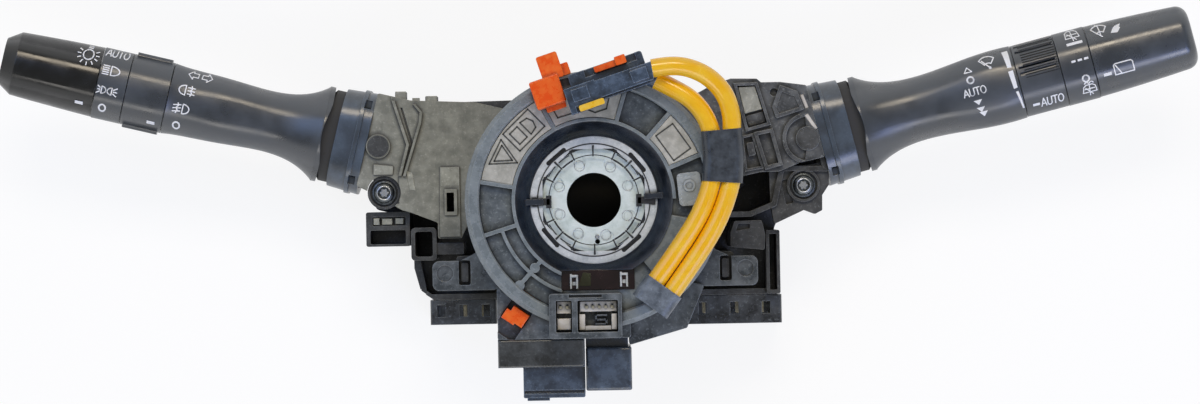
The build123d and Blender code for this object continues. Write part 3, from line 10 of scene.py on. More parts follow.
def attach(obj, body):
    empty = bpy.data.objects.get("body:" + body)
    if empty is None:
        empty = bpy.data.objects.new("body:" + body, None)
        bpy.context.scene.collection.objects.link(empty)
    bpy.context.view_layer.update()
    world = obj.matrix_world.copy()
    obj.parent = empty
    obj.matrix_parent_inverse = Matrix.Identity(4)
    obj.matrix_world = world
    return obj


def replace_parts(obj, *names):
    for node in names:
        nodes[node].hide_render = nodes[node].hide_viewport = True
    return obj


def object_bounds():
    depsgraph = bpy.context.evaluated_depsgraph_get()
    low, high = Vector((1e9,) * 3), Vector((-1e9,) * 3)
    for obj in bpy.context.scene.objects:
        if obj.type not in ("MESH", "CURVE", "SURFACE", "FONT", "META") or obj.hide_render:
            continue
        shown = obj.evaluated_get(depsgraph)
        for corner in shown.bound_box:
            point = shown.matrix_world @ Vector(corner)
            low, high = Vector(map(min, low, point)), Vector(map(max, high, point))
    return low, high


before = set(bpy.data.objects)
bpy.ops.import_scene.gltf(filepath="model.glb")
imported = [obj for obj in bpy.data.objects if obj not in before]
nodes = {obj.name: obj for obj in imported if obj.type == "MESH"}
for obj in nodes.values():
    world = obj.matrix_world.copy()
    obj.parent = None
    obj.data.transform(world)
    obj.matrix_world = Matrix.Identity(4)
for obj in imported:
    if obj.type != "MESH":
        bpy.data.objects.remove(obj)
cad_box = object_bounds()
MM = 0.001
# both stalks: pivot in mm and the angle by which they rise across the car
pivot = (80.6, 21.6)
rise = radians(14)

# ---------------------------------------------------------------- camera, lamps and floor
camera_height = 1.200
focus_z = 0.050
field_wide = 0.450
sensor = 36.0
camera_shift = (0.00224, -0.00079)
camera_roll = radians(-1.07)

lens = bpy.data.cameras.new("camera")
lens.sensor_width = sensor
lens.lens = sensor * camera_height / field_wide
camera = bpy.data.objects.new("camera", lens)
camera.location = (*camera_shift, focus_z + camera_height)
camera.rotation_euler = (0, 0, camera_roll)
bpy.context.collection.objects.link(camera)
bpy.context.scene.camera = camera


def linear(colour):
    """A shader's linear colour from an sRGB hex value."""
    parts = [int(colour[i:i + 2], 16) / 255 for i in (1, 3, 5)]
    return [c / 12.92 if c <= 0.04045 else ((c + 0.055) / 1.055) ** 2.4 for c in parts] + [1]


def add(tree, kind, inputs, **settings):
    """Adds a shader node; inputs maps its sockets to values or to the outputs that feed them."""
    made = tree.nodes.new("ShaderNode" + kind)
    for name, value in settings.items():
        setattr(made, name, value)
    for socket, value in inputs.items():
        if isinstance(value, bpy.types.NodeSocket):
            tree.links.new(value, made.inputs[socket])
        else:
            made.inputs[socket].default_value = value
    return made


def shows_background(tree):
    """1 for the rays that show the background: straight to the eye, through clear parts and off gloss."""
    rays = add(tree, "LightPath", {})
    seen = add(tree, "Math", {0: rays.outputs["Is Camera Ray"], 1: rays.outputs["Is Transmission Ray"]},
               operation="MAXIMUM")
    seen = add(tree, "Math", {0: seen.outputs[0], 1: rays.outputs["Is Glossy Ray"]}, operation="MAXIMUM")
    return seen.outputs[0]


def lamp(name, place, wide, deep, level, colour, aim=(0, 0, focus_z)):
    """Soft rectangular lamp turned to a point; level 1 lights a white card there to white."""
    light = bpy.data.lights.new(name, "AREA")
    light.shape = "RECTANGLE"
    light.size = wide
    light.size_y = deep
    light.color = linear(colour)[:3]
    run = Vector(aim) - Vector(place)
    light.energy = level * pi ** 2 * run.length ** 2
    obj = bpy.data.objects.new(name, light)
    obj.location = place
    obj.rotation_euler = run.to_track_quat("-Z", "Y").to_euler()
    obj.visible_camera = False
    bpy.context.collection.objects.link(obj)


# a warm lamp behind, a window in front and a cool window beyond each stalk; none of them stands where
# level plastic near the hub would mirror it to the camera
lamp("back_lamp", (0.05, 0.95, 1.35), 0.9, 0.4, 0.36, "#fff0d8")
lamp("front_window", (0.15, -1.15, 1.25), 1.6, 0.6, 0.30, "#fdf9f3")
lamp("left_window", (-0.66, 0.46, 0.95), 0.55, 0.85, 0.24, "#9dc0ff", aim=(-0.16, 0.04, focus_z))
lamp("right_window", (0.66, -0.60, 0.85), 0.55, 0.75, 0.28, "#a4baff", aim=(0.17, 0.04, focus_z))

world = bpy.data.worlds.new("room")
world.use_nodes = True
bpy.context.scene.world = world
tree = world.node_tree
fill = add(tree, "Background", {"Color": linear("#f2f4f7"), "Strength": 0.24})
# white walls under a darker ceiling, so that level plastic keeps its black
height = add(tree, "SeparateXYZ", {0: add(tree, "TexCoord", {}).outputs["Generated"]})
ceiling = add(tree, "MapRange", {0: height.outputs["Z"], 1: 0.30, 2: 0.70, 3: 1.0, 4: 0.30})
card = add(tree, "Background", {"Color": linear("#fdfdfd"), "Strength": ceiling.outputs[0]})
room = add(tree, "MixShader", {0: shows_background(tree), 1: fill.outputs[0], 2: card.outputs[0]})
tree.links.new(room.outputs[0], tree.nodes["World Output"].inputs["Surface"])

bpy.context.scene.view_settings.view_transform = "Standard"


# ---------------------------------------------------------------- finishes
def moulded(name, colour, worn_and_lit, roughness, grain=0.30, relief=0.02, patch=7.0, rub=0.55, edge=0.35,
            coat=0.0, clear=0.0, dust=0.5, crevice_shade=0.0, index=1.55):
    """Moulded thermoplastic. Grain and patch are the sizes of the tool's texture and of the patches in mm,
    which are rubbed wear and dust and on the blue finishes also painted sheen; relief is the grain's depth in
    mm, rub how far the patches take the worn colour, edge the width in mm of the pale line along corners,
    partly rubbed wear and partly painted highlight, dust the strength of the fine specks, crevice how dark
    the shade painted into inner corners is, and index the refractive index, higher under a film of grease."""
    speck_size = 1.1
    crevice_shade_reach = 1.8
    material = bpy.data.materials.new(name)
    material.use_nodes = True
    tree = material.node_tree
    shader = tree.nodes["Principled BSDF"]
    place = add(tree, "TexCoord", {}).outputs["Object"]
    patches = add(tree, "TexNoise", {"Vector": place, "Scale": 1 / (patch * MM), "Detail": 5.0,
                                     "Roughness": 0.62})
    specks = add(tree, "TexNoise", {"Vector": place, "Scale": 1 / (speck_size * MM), "Detail": 3.0,
                                    "Roughness": 0.7})
    spread = add(tree, "MapRange", {0: patches.outputs["Fac"], 1: 0.38, 2: 0.70, 3: 0.0, 4: rub})
    dusty = add(tree, "MapRange", {0: specks.outputs["Fac"], 1: 0.56, 2: 0.70, 3: 0.0, 4: dust})
    amount = add(tree, "Math", {0: spread.outputs[0], 1: dusty.outputs[0]}, operation="ADD", use_clamp=True)
    rounded = add(tree, "Bevel", {"Radius": edge * MM}, samples=4)
    flat = add(tree, "NewGeometry", {})
    turn = add(tree, "VectorMath", {0: rounded.outputs[0], 1: flat.outputs["Normal"]},
               operation="DOT_PRODUCT")
    # painted highlight and wear: corners, where the rounded normal turns from the flat one, take the worn
    # colour
    corner = add(tree, "MapRange", {0: turn.outputs["Value"], 1: 0.985, 2: 0.86, 3: 0.0, 4: 0.8})
    amount = add(tree, "Math", {0: amount.outputs[0], 1: corner.outputs[0]}, operation="MAXIMUM")
    body = add(tree, "Mix", {0: amount.outputs[0], 6: linear(colour), 7: linear(worn_and_lit)}, data_type="RGBA")
    # painted shade: inner corners found by ambient occlusion are darkened towards near black
    if crevice_shade:
        near = add(tree, "AmbientOcclusion", {"Distance": crevice_shade_reach * MM}, samples=8)
        shade = add(tree, "MapRange", {0: near.outputs["AO"], 1: 0.42, 2: 0.94, 3: crevice_shade, 4: 0.0})
        body = add(tree, "Mix", {0: shade.outputs[0], 6: body.outputs[2], 7: linear("#060708")},
                   data_type="RGBA")
    tree.links.new(body.outputs[2], shader.inputs["Base Color"])
    sheen = add(tree, "MapRange", {0: patches.outputs["Fac"], 1: 0.35, 2: 0.7, 3: max(roughness - 0.07, 0.04),
                                   4: min(roughness + 0.12, 1.0)})
    tree.links.new(sheen.outputs[0], shader.inputs["Roughness"])
    texture = add(tree, "TexNoise", {"Vector": place, "Scale": 1 / (grain * MM), "Detail": 2.0,
                                     "Roughness": 0.6})
    bump = add(tree, "Bump", {"Height": texture.outputs["Fac"], "Distance": relief * MM, "Strength": 0.6,
                              "Normal": rounded.outputs[0]})
    tree.links.new(bump.outputs[0], shader.inputs["Normal"])
    shader.inputs["IOR"].default_value = index
    if coat:
        shader.inputs["Coat Weight"].default_value = coat
        shader.inputs["Coat Roughness"].default_value = 0.06
    if clear:
        shader.inputs["Transmission Weight"].default_value = clear
    return material


def metal(name, colour, dull, roughness, patch=4.0, brushed=0.12):
    """Bare or plated metal. Patch is the size in mm of its dull spots and brushed that of its scratches."""
    corner_round = 0.25
    scratch_depth = 0.006
    material = bpy.data.materials.new(name)
    material.use_nodes = True
    tree = material.node_tree
    shader = tree.nodes["Principled BSDF"]
    place = add(tree, "TexCoord", {}).outputs["Object"]
    spots = add(tree, "TexNoise", {"Vector": place, "Scale": 1 / (patch * MM), "Detail": 6.0,
                                   "Roughness": 0.65})
    stain = add(tree, "MapRange", {0: spots.outputs["Fac"], 1: 0.40, 2: 0.68, 3: 0.0, 4: 1.0})
    body = add(tree, "Mix", {0: stain.outputs[0], 6: linear(colour), 7: linear(dull)}, data_type="RGBA")
    tree.links.new(body.outputs[2], shader.inputs["Base Color"])
    haze = add(tree, "MapRange", {0: spots.outputs["Fac"], 1: 0.35, 2: 0.7, 3: roughness,
                                  4: roughness + 0.18})
    tree.links.new(haze.outputs[0], shader.inputs["Roughness"])
    fine = add(tree, "TexNoise", {"Vector": place, "Scale": 1 / (brushed * MM), "Detail": 2.0})
    rounded = add(tree, "Bevel", {"Radius": corner_round * MM}, samples=4)
    bump = add(tree, "Bump", {"Height": fine.outputs["Fac"], "Distance": scratch_depth * MM, "Strength": 0.5,
                              "Normal": rounded.outputs[0]})
    tree.links.new(bump.outputs[0], shader.inputs["Normal"])
    shader.inputs["Metallic"].default_value = 1.0
    return material


# glass-filled nylon off a spark-eroded tool: black, dry and dusty, its corners pale partly from rubbing and
# partly as painted highlight
nylon_grained = moulded("nylon_grained", "#222424", "#858887", 0.46, grain=0.45, relief=0.06, rub=0.25,
                        edge=0.32, crevice_shade=0.85, index=1.6, dust=0.35)
# the same nylon on the left cover, paler and brownish grey all over: partly caught dust and partly a painted
# warm reflection of overhead light
nylon_cover = moulded("nylon_cover", "#75766b", "#a9a99c", 0.50, grain=0.5, relief=0.09, patch=5, rub=0.65,
                      edge=0.35, crevice_shade=0.95, index=1.6)
# the right cover is cleaner and blacker
nylon_clean = moulded("nylon_clean", "#34373a", "#a2a6a5", 0.36, grain=0.5, relief=0.06, patch=6, rub=0.28,
                      edge=0.38, crevice_shade=0.95, index=1.65, dust=0.35)
# black PBT of the harness connectors: smooth and dark, pale where handled
pbt_black = moulded("pbt_black", "#1d2023", "#98a0a6", 0.30, grain=0.35, relief=0.02, rub=0.22, edge=0.38,
                    crevice_shade=0.9, index=1.65, dust=0.35)
# fine-grained ABS of the stalks: even, satin, black, its blue tint a painted reflection of cool window light
abs_satin = moulded("abs_satin", "#262d35", "#3a444f", 0.33, grain=0.16, relief=0.012, patch=16, rub=0.5,
                    edge=0.2, dust=0.08, index=1.85)
# the collars: the same ABS, with a cool sheen painted into its blue-grey colours
abs_collar = moulded("abs_collar", "#2a343e", "#6d8094", 0.28, grain=0.2, relief=0.010, patch=12, rub=0.4,
                     edge=0.4, dust=0.15, crevice_shade=0.6, index=1.8)
# polished ABS of the light knob: near black, sharp reflections
abs_polished = moulded("abs_polished", "#050607", "#15181a", 0.19, grain=0.8, relief=0.004, patch=10,
                       rub=0.4, edge=0.3, dust=0.1, index=1.6)
# satin ABS of the wiper stalk's knob, a little smoother than the stalk, with the same painted blue reflection
# in its colours
abs_knob = moulded("abs_knob", "#272e36", "#434e59", 0.27, grain=0.2, relief=0.008, patch=14, rub=0.4,
                   edge=0.3, dust=0.1, index=1.85)
# acetal of the rotor: slightly waxy grey with drag marks
acetal_grey = moulded("acetal_grey", "#70797c", "#abb3b5", 0.28, grain=0.6, relief=0.015, patch=6, rub=0.4,
                      edge=0.5, crevice_shade=0.85, index=1.6, dust=0.3)
# the rotor's pockets: the same acetal made darker, as painted shade in the recesses
acetal_pocket_shade = moulded("acetal_pocket_shade", "#4c5356", "#90989a", 0.34, grain=0.6, relief=0.03, patch=4,
                        rub=0.4, dust=0.6, crevice_shade=0.8)
# pale sector plates of the rotor, tan with handling
acetal_tan = moulded("acetal_tan", "#a3a297", "#d0cec2", 0.38, grain=0.5, relief=0.04, patch=4, rub=0.7,
                     dust=0.4)
# polished blue-black funnel round the hub
acetal_funnel = moulded("acetal_funnel", "#0b1119", "#2f425a", 0.15, grain=0.9, relief=0.006, patch=14,
                        rub=0.35, edge=0.3, dust=0.05, index=1.8)
# natural acetal of the snap ring and gears: milky white
acetal_white = moulded("acetal_white", "#c0c6c5", "#eef0ee", 0.30, grain=0.5, relief=0.01, patch=3,
                       edge=0.35, crevice_shade=0.95)
# PBT of the spiral cable's fixed case: smooth black gone grey with dust
pbt_case = moulded("pbt_case", "#3c4245", "#a1a8ab", 0.30, grain=0.5, relief=0.02, patch=6, rub=0.35,
                   edge=0.5, crevice_shade=0.9, index=1.6, dust=0.35)
# polished PBT lid
pbt_lid = moulded("pbt_lid", "#262828", "#7b8081", 0.16, grain=0.9, relief=0.012, patch=9, rub=0.4,
                  edge=0.4, dust=0.2, index=1.7)
# PBT of the two lowest plug sockets: dark, with a cool sheen painted into its blue colours
pbt_blue_sheen = moulded("pbt_blue_sheen", "#2b3542", "#8aa0b8", 0.24, grain=0.5, relief=0.015, patch=8, rub=0.3,
                   edge=0.5, dust=0.2, crevice_shade=0.7, index=1.75)
# orange nylon of the transit lock, the plug and one connector lock: bright, satin, paler at its corners
nylon_orange = moulded("nylon_orange", "#f25200", "#ff8a28", 0.28, grain=0.5, relief=0.01, patch=3,
                       edge=0.4, dust=0.15, crevice_shade=0.4)
# yellow nylon of the other connector lock
nylon_yellow = moulded("nylon_yellow", "#f4bb0a", "#ffe06a", 0.30, grain=0.5, relief=0.01, patch=3,
                       edge=0.25, dust=0.2)
# blue-black PBT of the squib connectors, its pale blue patches a painted sheen
pbt_squib = moulded("pbt_squib", "#22303f", "#86a2c4", 0.22, grain=0.5, relief=0.012, patch=5, rub=0.25,
                    edge=0.5, dust=0.15, crevice_shade=0.8, index=1.75)
# soft PVC sleeve, deep yellow and glossy
pvc_yellow = moulded("pvc_yellow", "#ffbe00", "#ffd93a", 0.20, grain=1.4, relief=0.01, patch=9, edge=0.0,
                     dust=0.05, coat=0.25)
# chloroprene boot, dusty
rubber_black = moulded("rubber_black", "#4c545c", "#9aa5b0", 0.40, grain=0.4, relief=0.03, patch=5,
                       dust=0.3)
# PVC-backed cloth tape
tape_black = moulded("tape_black", "#262c33", "#4c565f", 0.34, grain=0.5, relief=0.05, patch=4, dust=0.3,
                     index=1.65)
# clear polycarbonate clip, hazed with dust
poly_clear = moulded("poly_clear", "#a9b1b2", "#d6dcdb", 0.26, grain=0.6, relief=0.01, patch=4, clear=0.25,
                     crevice_shade=0.6)
# cream PBT carrier of the rotor's pins
pbt_cream = moulded("pbt_cream", "#d3cdc1", "#f4f1e9", 0.40, grain=0.5, relief=0.01, patch=3, dust=0.2,
                    crevice_shade=0.8)
# smoked window over the flat cable, dark red
window_smoked = moulded("window_smoked", "#1b0b0b", "#301513", 0.20, grain=1.0, relief=0.004, patch=6,
                        dust=0.1)
# olive polyester film at the end of the flat cable: smooth, half glossy
film_olive = moulded("film_olive", "#2f3018", "#45462a", 0.20, grain=0.6, relief=0.006, patch=4, dust=0.1)
# matt black of the snap ring's keys, and painted shade in the grooves between the grip ribs
rubber_matt = moulded("rubber_matt", "#0a0b0c", "#2b2f33", 0.6, grain=0.4, relief=0.04, patch=4, dust=0.3)
# glass-epoxy board with green solder mask
board_green = moulded("board_green", "#1d4a2c", "#2f6a40", 0.35, grain=0.3, relief=0.006, patch=4,
                      dust=0.2)
# polyester flat cable with copper tracks showing through
cable_flat = moulded("cable_flat", "#9a5a34", "#c08458", 0.30, grain=0.5, relief=0.01, patch=5, dust=0.2)
# pad-printed ink: flat white with faint wear
ink_white = moulded("ink_white", "#f2f4f5", "#ffffff", 0.45, grain=0.2, relief=0.002, patch=3, edge=0.0,
                    dust=0.1)
# dull dark lines drawing the raised signs of the sector plates
sign_dark = moulded("sign_dark", "#33342f", "#55564e", 0.5, grain=0.3, relief=0.01, patch=2, edge=0.0,
                    dust=0.1)
# pale nylon where the covers are rubbed, and of the guides in the left cover
nylon_pale = moulded("nylon_pale", "#8d8e82", "#c4c4b6", 0.5, grain=0.5, relief=0.06, patch=4, rub=0.6,
                     dust=0.6)
# zinc-plated steel plate of the hub: pale, cold, faintly green
zinc_plate = metal("zinc_plate", "#dfe8e6", "#c6d1cd", 0.52, patch=5.0, brushed=0.3)
# zinc-plated steel of the clamp
zinc_steel = metal("zinc_steel", "#b5b8ba", "#8d9194", 0.32, patch=2.0)
# blackened steel of the screw heads
screw_dark = metal("screw_dark", "#6c7174", "#3c4042", 0.30, patch=1.2)
# tinned brass of pins
tinned_brass = metal("tinned_brass", "#d8d2bd", "#a59c7c", 0.28, patch=1.0)
# burnished steel of the shafts, cross pins, screw recesses, punch marks and drive pin
steel_bright = metal("steel_bright", "#d2d5d8", "#9a9ea2", 0.24, patch=0.8)

finish_of = {
    nylon_grained: ("switch_bracket", "left_case", "right_case", "turn_holder", "wiper_holder"),
    nylon_cover: ("left_cover",),
    nylon_clean: ("right_cover",),
    pbt_black: ("left_connector", "right_connector", "turn_plunger", "wiper_plunger", "sensor_case",
                "sensor_cover"),
    pbt_blue_sheen: ("stator_connector", "heater_connector"),
    abs_satin: ("light_lever", "wiper_lever", "light_label_ring", "fog_ring", "wiper_label_ring",
                "interval_ring"),
    abs_collar: ("left_collar", "right_collar"),
    abs_polished: ("light_knob",),
    abs_knob: ("rear_wiper_knob",),
    acetal_grey: ("rotor_disc",),
    acetal_funnel: ("hub_sleeve",),
    acetal_white: ("snap_ring", "sensor_gear", "magnet_gear_1", "magnet_gear_2", "cancel_pawl"),
    pbt_case: ("stator_case", "stator_base", "rotor_socket"),
    pbt_lid: ("stator_lid",),
    nylon_orange: ("transit_lock", "connector_lock_b", "squib_plug"),
    nylon_yellow: ("connector_lock_a",),
    pbt_squib: ("squib_connector_a", "squib_connector_b"),
    rubber_black: ("lead_boot",),
    tape_black: ("lead_wrap",),
    poly_clear: ("rotor_clip",),
    window_smoked: ("cable_window",),
    board_green: ("circuit_boards",),
    cable_flat: ("flat_cable",),
    zinc_plate: ("hub_plate",),
    zinc_steel: ("clamp_band", "clamp_screw"),
    screw_dark: ("case_screws",),
    tinned_brass: ("terminals", "socket_pins"),
    steel_bright: ("turn_cross_pin", "wiper_cross_pin", "light_shaft", "wiper_shaft"),
}


def stalk_place(tree):
    """Distances in metres along a stalk from its pivot and across it, the same on both stalks."""
    spot = add(tree, "SeparateXYZ", {0: add(tree, "TexCoord", {}).outputs["Object"]})
    away = add(tree, "Math", {0: spot.outputs["X"]}, operation="ABSOLUTE")
    spot = add(tree, "CombineXYZ", {0: away.outputs[0], 1: spot.outputs["Y"]})
    spot = add(tree, "VectorMath", {0: spot.outputs[0], 1: (pivot[0] * MM, pivot[1] * MM, 0)},
               operation="SUBTRACT")
    along, across = [add(tree, "VectorMath", {0: spot.outputs[0], 1: way}, operation="DOT_PRODUCT")
                     for way in ((cos(rise), sin(rise), 0), (-sin(rise), cos(rise), 0))]
    return along.outputs["Value"], across.outputs["Value"]


def crowned(material, radius):
    """Bends the light on a stalk finish as if the level top were rounded to this radius in mm."""
    tree = material.node_tree
    grain = next(node for node in tree.nodes if node.type == "BUMP")
    across = stalk_place(tree)[1]
    square = add(tree, "Math", {0: across, 1: across}, operation="MULTIPLY")
    height = add(tree, "Math", {0: square.outputs[0], 1: -0.5 / (radius * MM)}, operation="MULTIPLY")
    crown = add(tree, "Bump", {"Height": height.outputs[0], "Distance": 1.0, "Strength": 1.0,
                               "Normal": grain.inputs["Normal"].links[0].from_socket})
    tree.links.new(crown.outputs[0], grain.inputs["Normal"])


crowned(abs_polished, 14)
crowned(abs_satin, 24)
crowned(abs_knob, 20)

# beyond the collar proper each moulding is a matt black dust guard round the stalk's root
guard_start = 16.6
collar_roughness, guard_roughness = 0.28, 0.75
tree = abs_collar.node_tree
shader = tree.nodes["Principled BSDF"]
guard = add(tree, "MapRange", {0: stalk_place(tree)[0], 1: guard_start * MM, 2: (guard_start + 0.2) * MM,
                               3: 0.0, 4: 1.0})
body = add(tree, "Mix", {0: guard.outputs[0], 6: shader.inputs["Base Color"].links[0].from_socket,
                         7: linear("#08090a")}, data_type="RGBA")
tree.links.new(body.outputs[2], shader.inputs["Base Color"])
matt = add(tree, "MapRange", {0: guard.outputs[0], 1: 0.0, 2: 1.0, 3: collar_roughness, 4: guard_roughness})
tree.links.new(matt.outputs[0], shader.inputs["Roughness"])

for material, names in finish_of.items():
    for name in names:
        slots = nodes[name].data.materials
        slots.clear()
        slots.append(material)

# ---------------------------------------------------------------- floor
floor_shape = bmesh.new()
bmesh.ops.create_grid(floor_shape, x_segments=8, y_segments=8, size=3.0)
bmesh.ops.translate(floor_shape, verts=floor_shape.verts, vec=(0, 0, cad_box[0].z - 0.0001))
floor_mesh = bpy.data.meshes.new("floor")
floor_shape.to_mesh(floor_mesh)
floor_shape.free()
floor = bpy.data.objects.new("floor", floor_mesh)
bpy.context.collection.objects.link(floor)
paper = bpy.data.materials.new("paper")
paper.use_nodes = True
tree = paper.node_tree
matt_paper = tree.nodes["Principled BSDF"]
matt_paper.inputs["Roughness"].default_value = 0.9
# the paper reads as white to the eye, with a faint shadow left under the switch
glow_share = 0.80
share = add(tree, "Math", {0: shows_background(tree), 1: glow_share}, operation="MULTIPLY")
# straight under the hub a dark shadow without glow is painted on the paper, from this distance in to the
# column axis
shade_start, shade_end = 0.045, 0.030
reach = add(tree, "VectorMath", {0: add(tree, "TexCoord", {}).outputs["Object"]}, operation="LENGTH")
open_floor = add(tree, "MapRange", {0: reach.outputs["Value"], 1: shade_end, 2: shade_start, 3: 0.0, 4: 1.0})
painted_hub_shadow = add(tree, "Mix", {0: open_floor.outputs[0], 6: linear("#2a261c"), 7: linear("#f7f7f6")},
            data_type="RGBA")
tree.links.new(painted_hub_shadow.outputs[2], matt_paper.inputs["Base Color"])
share = add(tree, "Math", {0: share.outputs[0], 1: open_floor.outputs[0]}, operation="MULTIPLY")
glow = add(tree, "Emission", {"Color": linear("#ffffff"), "Strength": 1.05})
sheet = add(tree, "MixShader", {0: share.outputs[0], 1: matt_paper.outputs[0], 2: glow.outputs[0]})
tree.links.new(sheet.outputs[0], tree.nodes["Material Output"].inputs["Surface"])
floor_mesh.materials.append(paper)

# ---------------------------------------------------------------- airbag leads
sleeve_r = 3.4
lead_z = 96.0
lead_routes = {
    "lead_a": [
        (27.7, -33.6, lead_z), (36.9, -21.2, lead_z), (45.3, -7.7, lead_z), (49.95, 5.5, lead_z),
        (50.65, 14.2, lead_z), (50.15, 21.9, lead_z), (50.4, 29.5, 96.7), (48.1, 37.2, 98.1),
        (42.7, 43.3, 99.7), (35.6, 46.9, 101.0), (28.2, 47.9, 101.8), (21.7, 46.8, 101.8),
    ],
    "lead_b": [
        (22.0, -29.45, lead_z), (31.1, -17.2, lead_z), (39.3, -4.4, lead_z), (43.05, 6.95, lead_z),
        (43.65, 14.6, lead_z), (42.85, 24.4, lead_z), (40.1, 30.85, lead_z), (35.5, 36.15, lead_z),
        (29.4, 39.75, 95.8), (23.4, 42.9, 95.6),
    ],
}
for name, points in lead_routes.items():
    curve = bpy.data.curves.new(name + "_sleeve", "CURVE")
    curve.dimensions = "3D"
    line = curve.splines.new("NURBS")
    line.points.add(len(points) - 1)
    for spot, point in zip(line.points, points):
        spot.co = (*[value * MM for value in point], 1)
    line.order_u = 3
    line.use_endpoint_u = True
    line.resolution_u = 8
    curve.bevel_depth = sleeve_r * MM
    curve.bevel_resolution = 8
    curve.use_fill_caps = True
    sleeve = bpy.data.objects.new(name + "_sleeve", curve)
    bpy.context.collection.objects.link(sleeve)
    curve.materials.append(pvc_yellow)
    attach(sleeve, "rotor")
    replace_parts(sleeve, name)


# ---------------------------------------------------------------- shapes in millimetres
def slab(shape, points, low, high, soften=0.0):
    """Flat plate between two heights with this outline, its upper edges softened."""
    ring = [shape.verts.new((x * MM, y * MM, low * MM)) for x, y in points]
    made = bmesh.ops.extrude_face_region(shape, geom=[shape.faces.new(ring)])["geom"]
    top = [item for item in made if isinstance(item, bmesh.types.BMVert)]
    bmesh.ops.translate(shape, verts=top, vec=(0, 0, (high - low) * MM))
    if soften:
        edges = [item for item in made if isinstance(item, bmesh.types.BMEdge)]
        bmesh.ops.bevel(shape, geom=edges, offset=soften * MM, offset_type="OFFSET", affect="EDGES",
                        segments=2, profile=0.5, material=-1, clamp_overlap=True)


def turned(shape, x, y, profile):
    """Solid of revolution about an upright axis from (radius, height) points."""
    verts = [shape.verts.new(((x + r) * MM, y * MM, z * MM)) for r, z in profile]
    edges = [shape.edges.new(pair) for pair in zip(verts, verts[1:])]
    bmesh.ops.spin(shape, geom=verts + edges, cent=(x * MM, y * MM, 0), axis=(0, 0, 1), angle=2 * pi,
                   steps=36, use_merge=True)
    bmesh.ops.remove_doubles(shape, verts=shape.verts, dist=0.000005)


def star(x, y, radius, lobe):
    """Six-lobed outline of a screw's drive."""
    count = 36
    return [(x + (radius + lobe * cos(6 * a)) * cos(a), y + (radius + lobe * cos(6 * a)) * sin(a))
            for a in (2 * pi * i / count for i in range(count))]


def box_points(x, y, wide, tall, turn=0.0):
    """Corners of a rectangle about a point, turned in degrees."""
    c, s = cos(radians(turn)), sin(radians(turn))
    corners = ((-wide, -tall), (wide, -tall), (wide, tall), (-wide, tall))
    return [(x + u / 2 * c - v / 2 * s, y + u / 2 * s + v / 2 * c) for u, v in corners]


def sector_points(inner, outer, start, end):
    """Outline of a ring sector about the column axis, angles in degrees."""
    steps = max(2, round(abs(end - start) / 3))
    angles = [radians(start + (end - start) * i / steps) for i in range(steps + 1)]
    outside = [(outer * cos(a), outer * sin(a)) for a in angles]
    inside = [(inner * cos(a), inner * sin(a)) for a in reversed(angles)]
    return outside + inside


def built(name, shape, body, material):
    """Turns a finished bmesh into a piece in the shared frame that rides on a body and takes a finish."""
    bmesh.ops.recalc_face_normals(shape, faces=shape.faces)
    mesh = bpy.data.meshes.new(name)
    shape.to_mesh(mesh)
    shape.free()
    mesh.materials.append(material)
    obj = bpy.data.objects.new(name, mesh)
    bpy.context.collection.objects.link(obj)
    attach(obj, body)
    return obj


def ridge(shape, points, wide, low, high):
    """Low ridge of even width round a closed line of points."""
    for (ax, ay), (bx, by) in zip(points, points[1:] + points[:1]):
        turn = degrees(atan2(by - ay, bx - ax))
        long = ((bx - ax) ** 2 + (by - ay) ** 2) ** 0.5
        slab(shape, box_points((ax + bx) / 2, (ay + by) / 2, long + wide * 0.8, wide, turn), low, high)


# ---------------------------------------------------------------- rotor face
face_z = 90.4
pocket_z = 87.6
sector_inner, sector_outer = 30.0, 41.4
plate_proud = 0.16
shape = bmesh.new()
for start, end in ((74.4, 116.6), (119.4, 168.8), (23.4, 46.8)):
    slab(shape, sector_points(sector_inner, sector_outer, start, end), face_z, face_z + plate_proud,
         soften=0.1)
built("sector_plates", shape, "rotor", acetal_tan)

# darker sheets laid on the pocket floors: painted shade in the recesses
shape = bmesh.new()
for start, end in ((171.2, 195.8), (198.4, 226.6), (229.4, 247.0), (49.2, 71.8), (-11.0, 20.8)):
    slab(shape, sector_points(sector_inner, sector_outer, start, end), pocket_z, pocket_z + 0.15)
built("pocket_floor_shade", shape, "rotor", acetal_pocket_shade)

# plain signs raised on the sector plates: each has its distance from the column axis, its angle and its
# outline, drawn at this size with this line and standing between these two heights over the rotor face
sign_size = 1.45
sign_line = 0.5
sign_low, sign_high = 0.12, 0.34
shape = bmesh.new()
signs = (
    (36.0, 153.0, [(-3.4, 2.6), (3.4, 2.6), (0.0, -3.6)]),
    (36.0, 153.0, [(-2.2, 1.8), (2.2, 1.8), (0.0, -2.2)]),
    (35.8, 134.0, [(-4.4, -3.0), (4.4, -3.0), (4.4, 3.0), (-4.4, 3.0)]),
    (35.8, 134.0, [(-3.2, -1.8), (-0.6, -1.8), (-0.6, 1.8), (-3.2, 1.8)]),
    (35.8, 134.0, [(0.6, -2.0), (2.6, -1.6), (3.2, 0.0), (2.6, 1.6), (0.6, 2.0)]),
    (36.0, 106.0, [(-2.6, -2.6), (2.6, -2.6), (3.2, 0.2), (1.6, 2.8), (-1.6, 2.8), (-3.2, 0.2)]),
    (36.0, 88.0, [(-2.8, -2.0), (0.0, -3.0), (2.8, -2.0), (3.4, 0.8), (0.0, 2.8), (-3.4, 0.8)]),
    (35.6, 35.0, [(-3.8, -2.6), (3.8, -2.6), (3.8, 2.6), (-3.8, 2.6)]),
)
for reach, angle, points in signs:
    turn = radians(angle - 90)
    middle = (reach * cos(radians(angle)), reach * sin(radians(angle)))
    placed = [(middle[0] + sign_size * (x * cos(turn) - y * sin(turn)),
               middle[1] + sign_size * (x * sin(turn) + y * cos(turn))) for x, y in points]
    ridge(shape, placed, sign_line, face_z + sign_low, face_z + sign_high)
built("sector_signs", shape, "rotor", sign_dark)

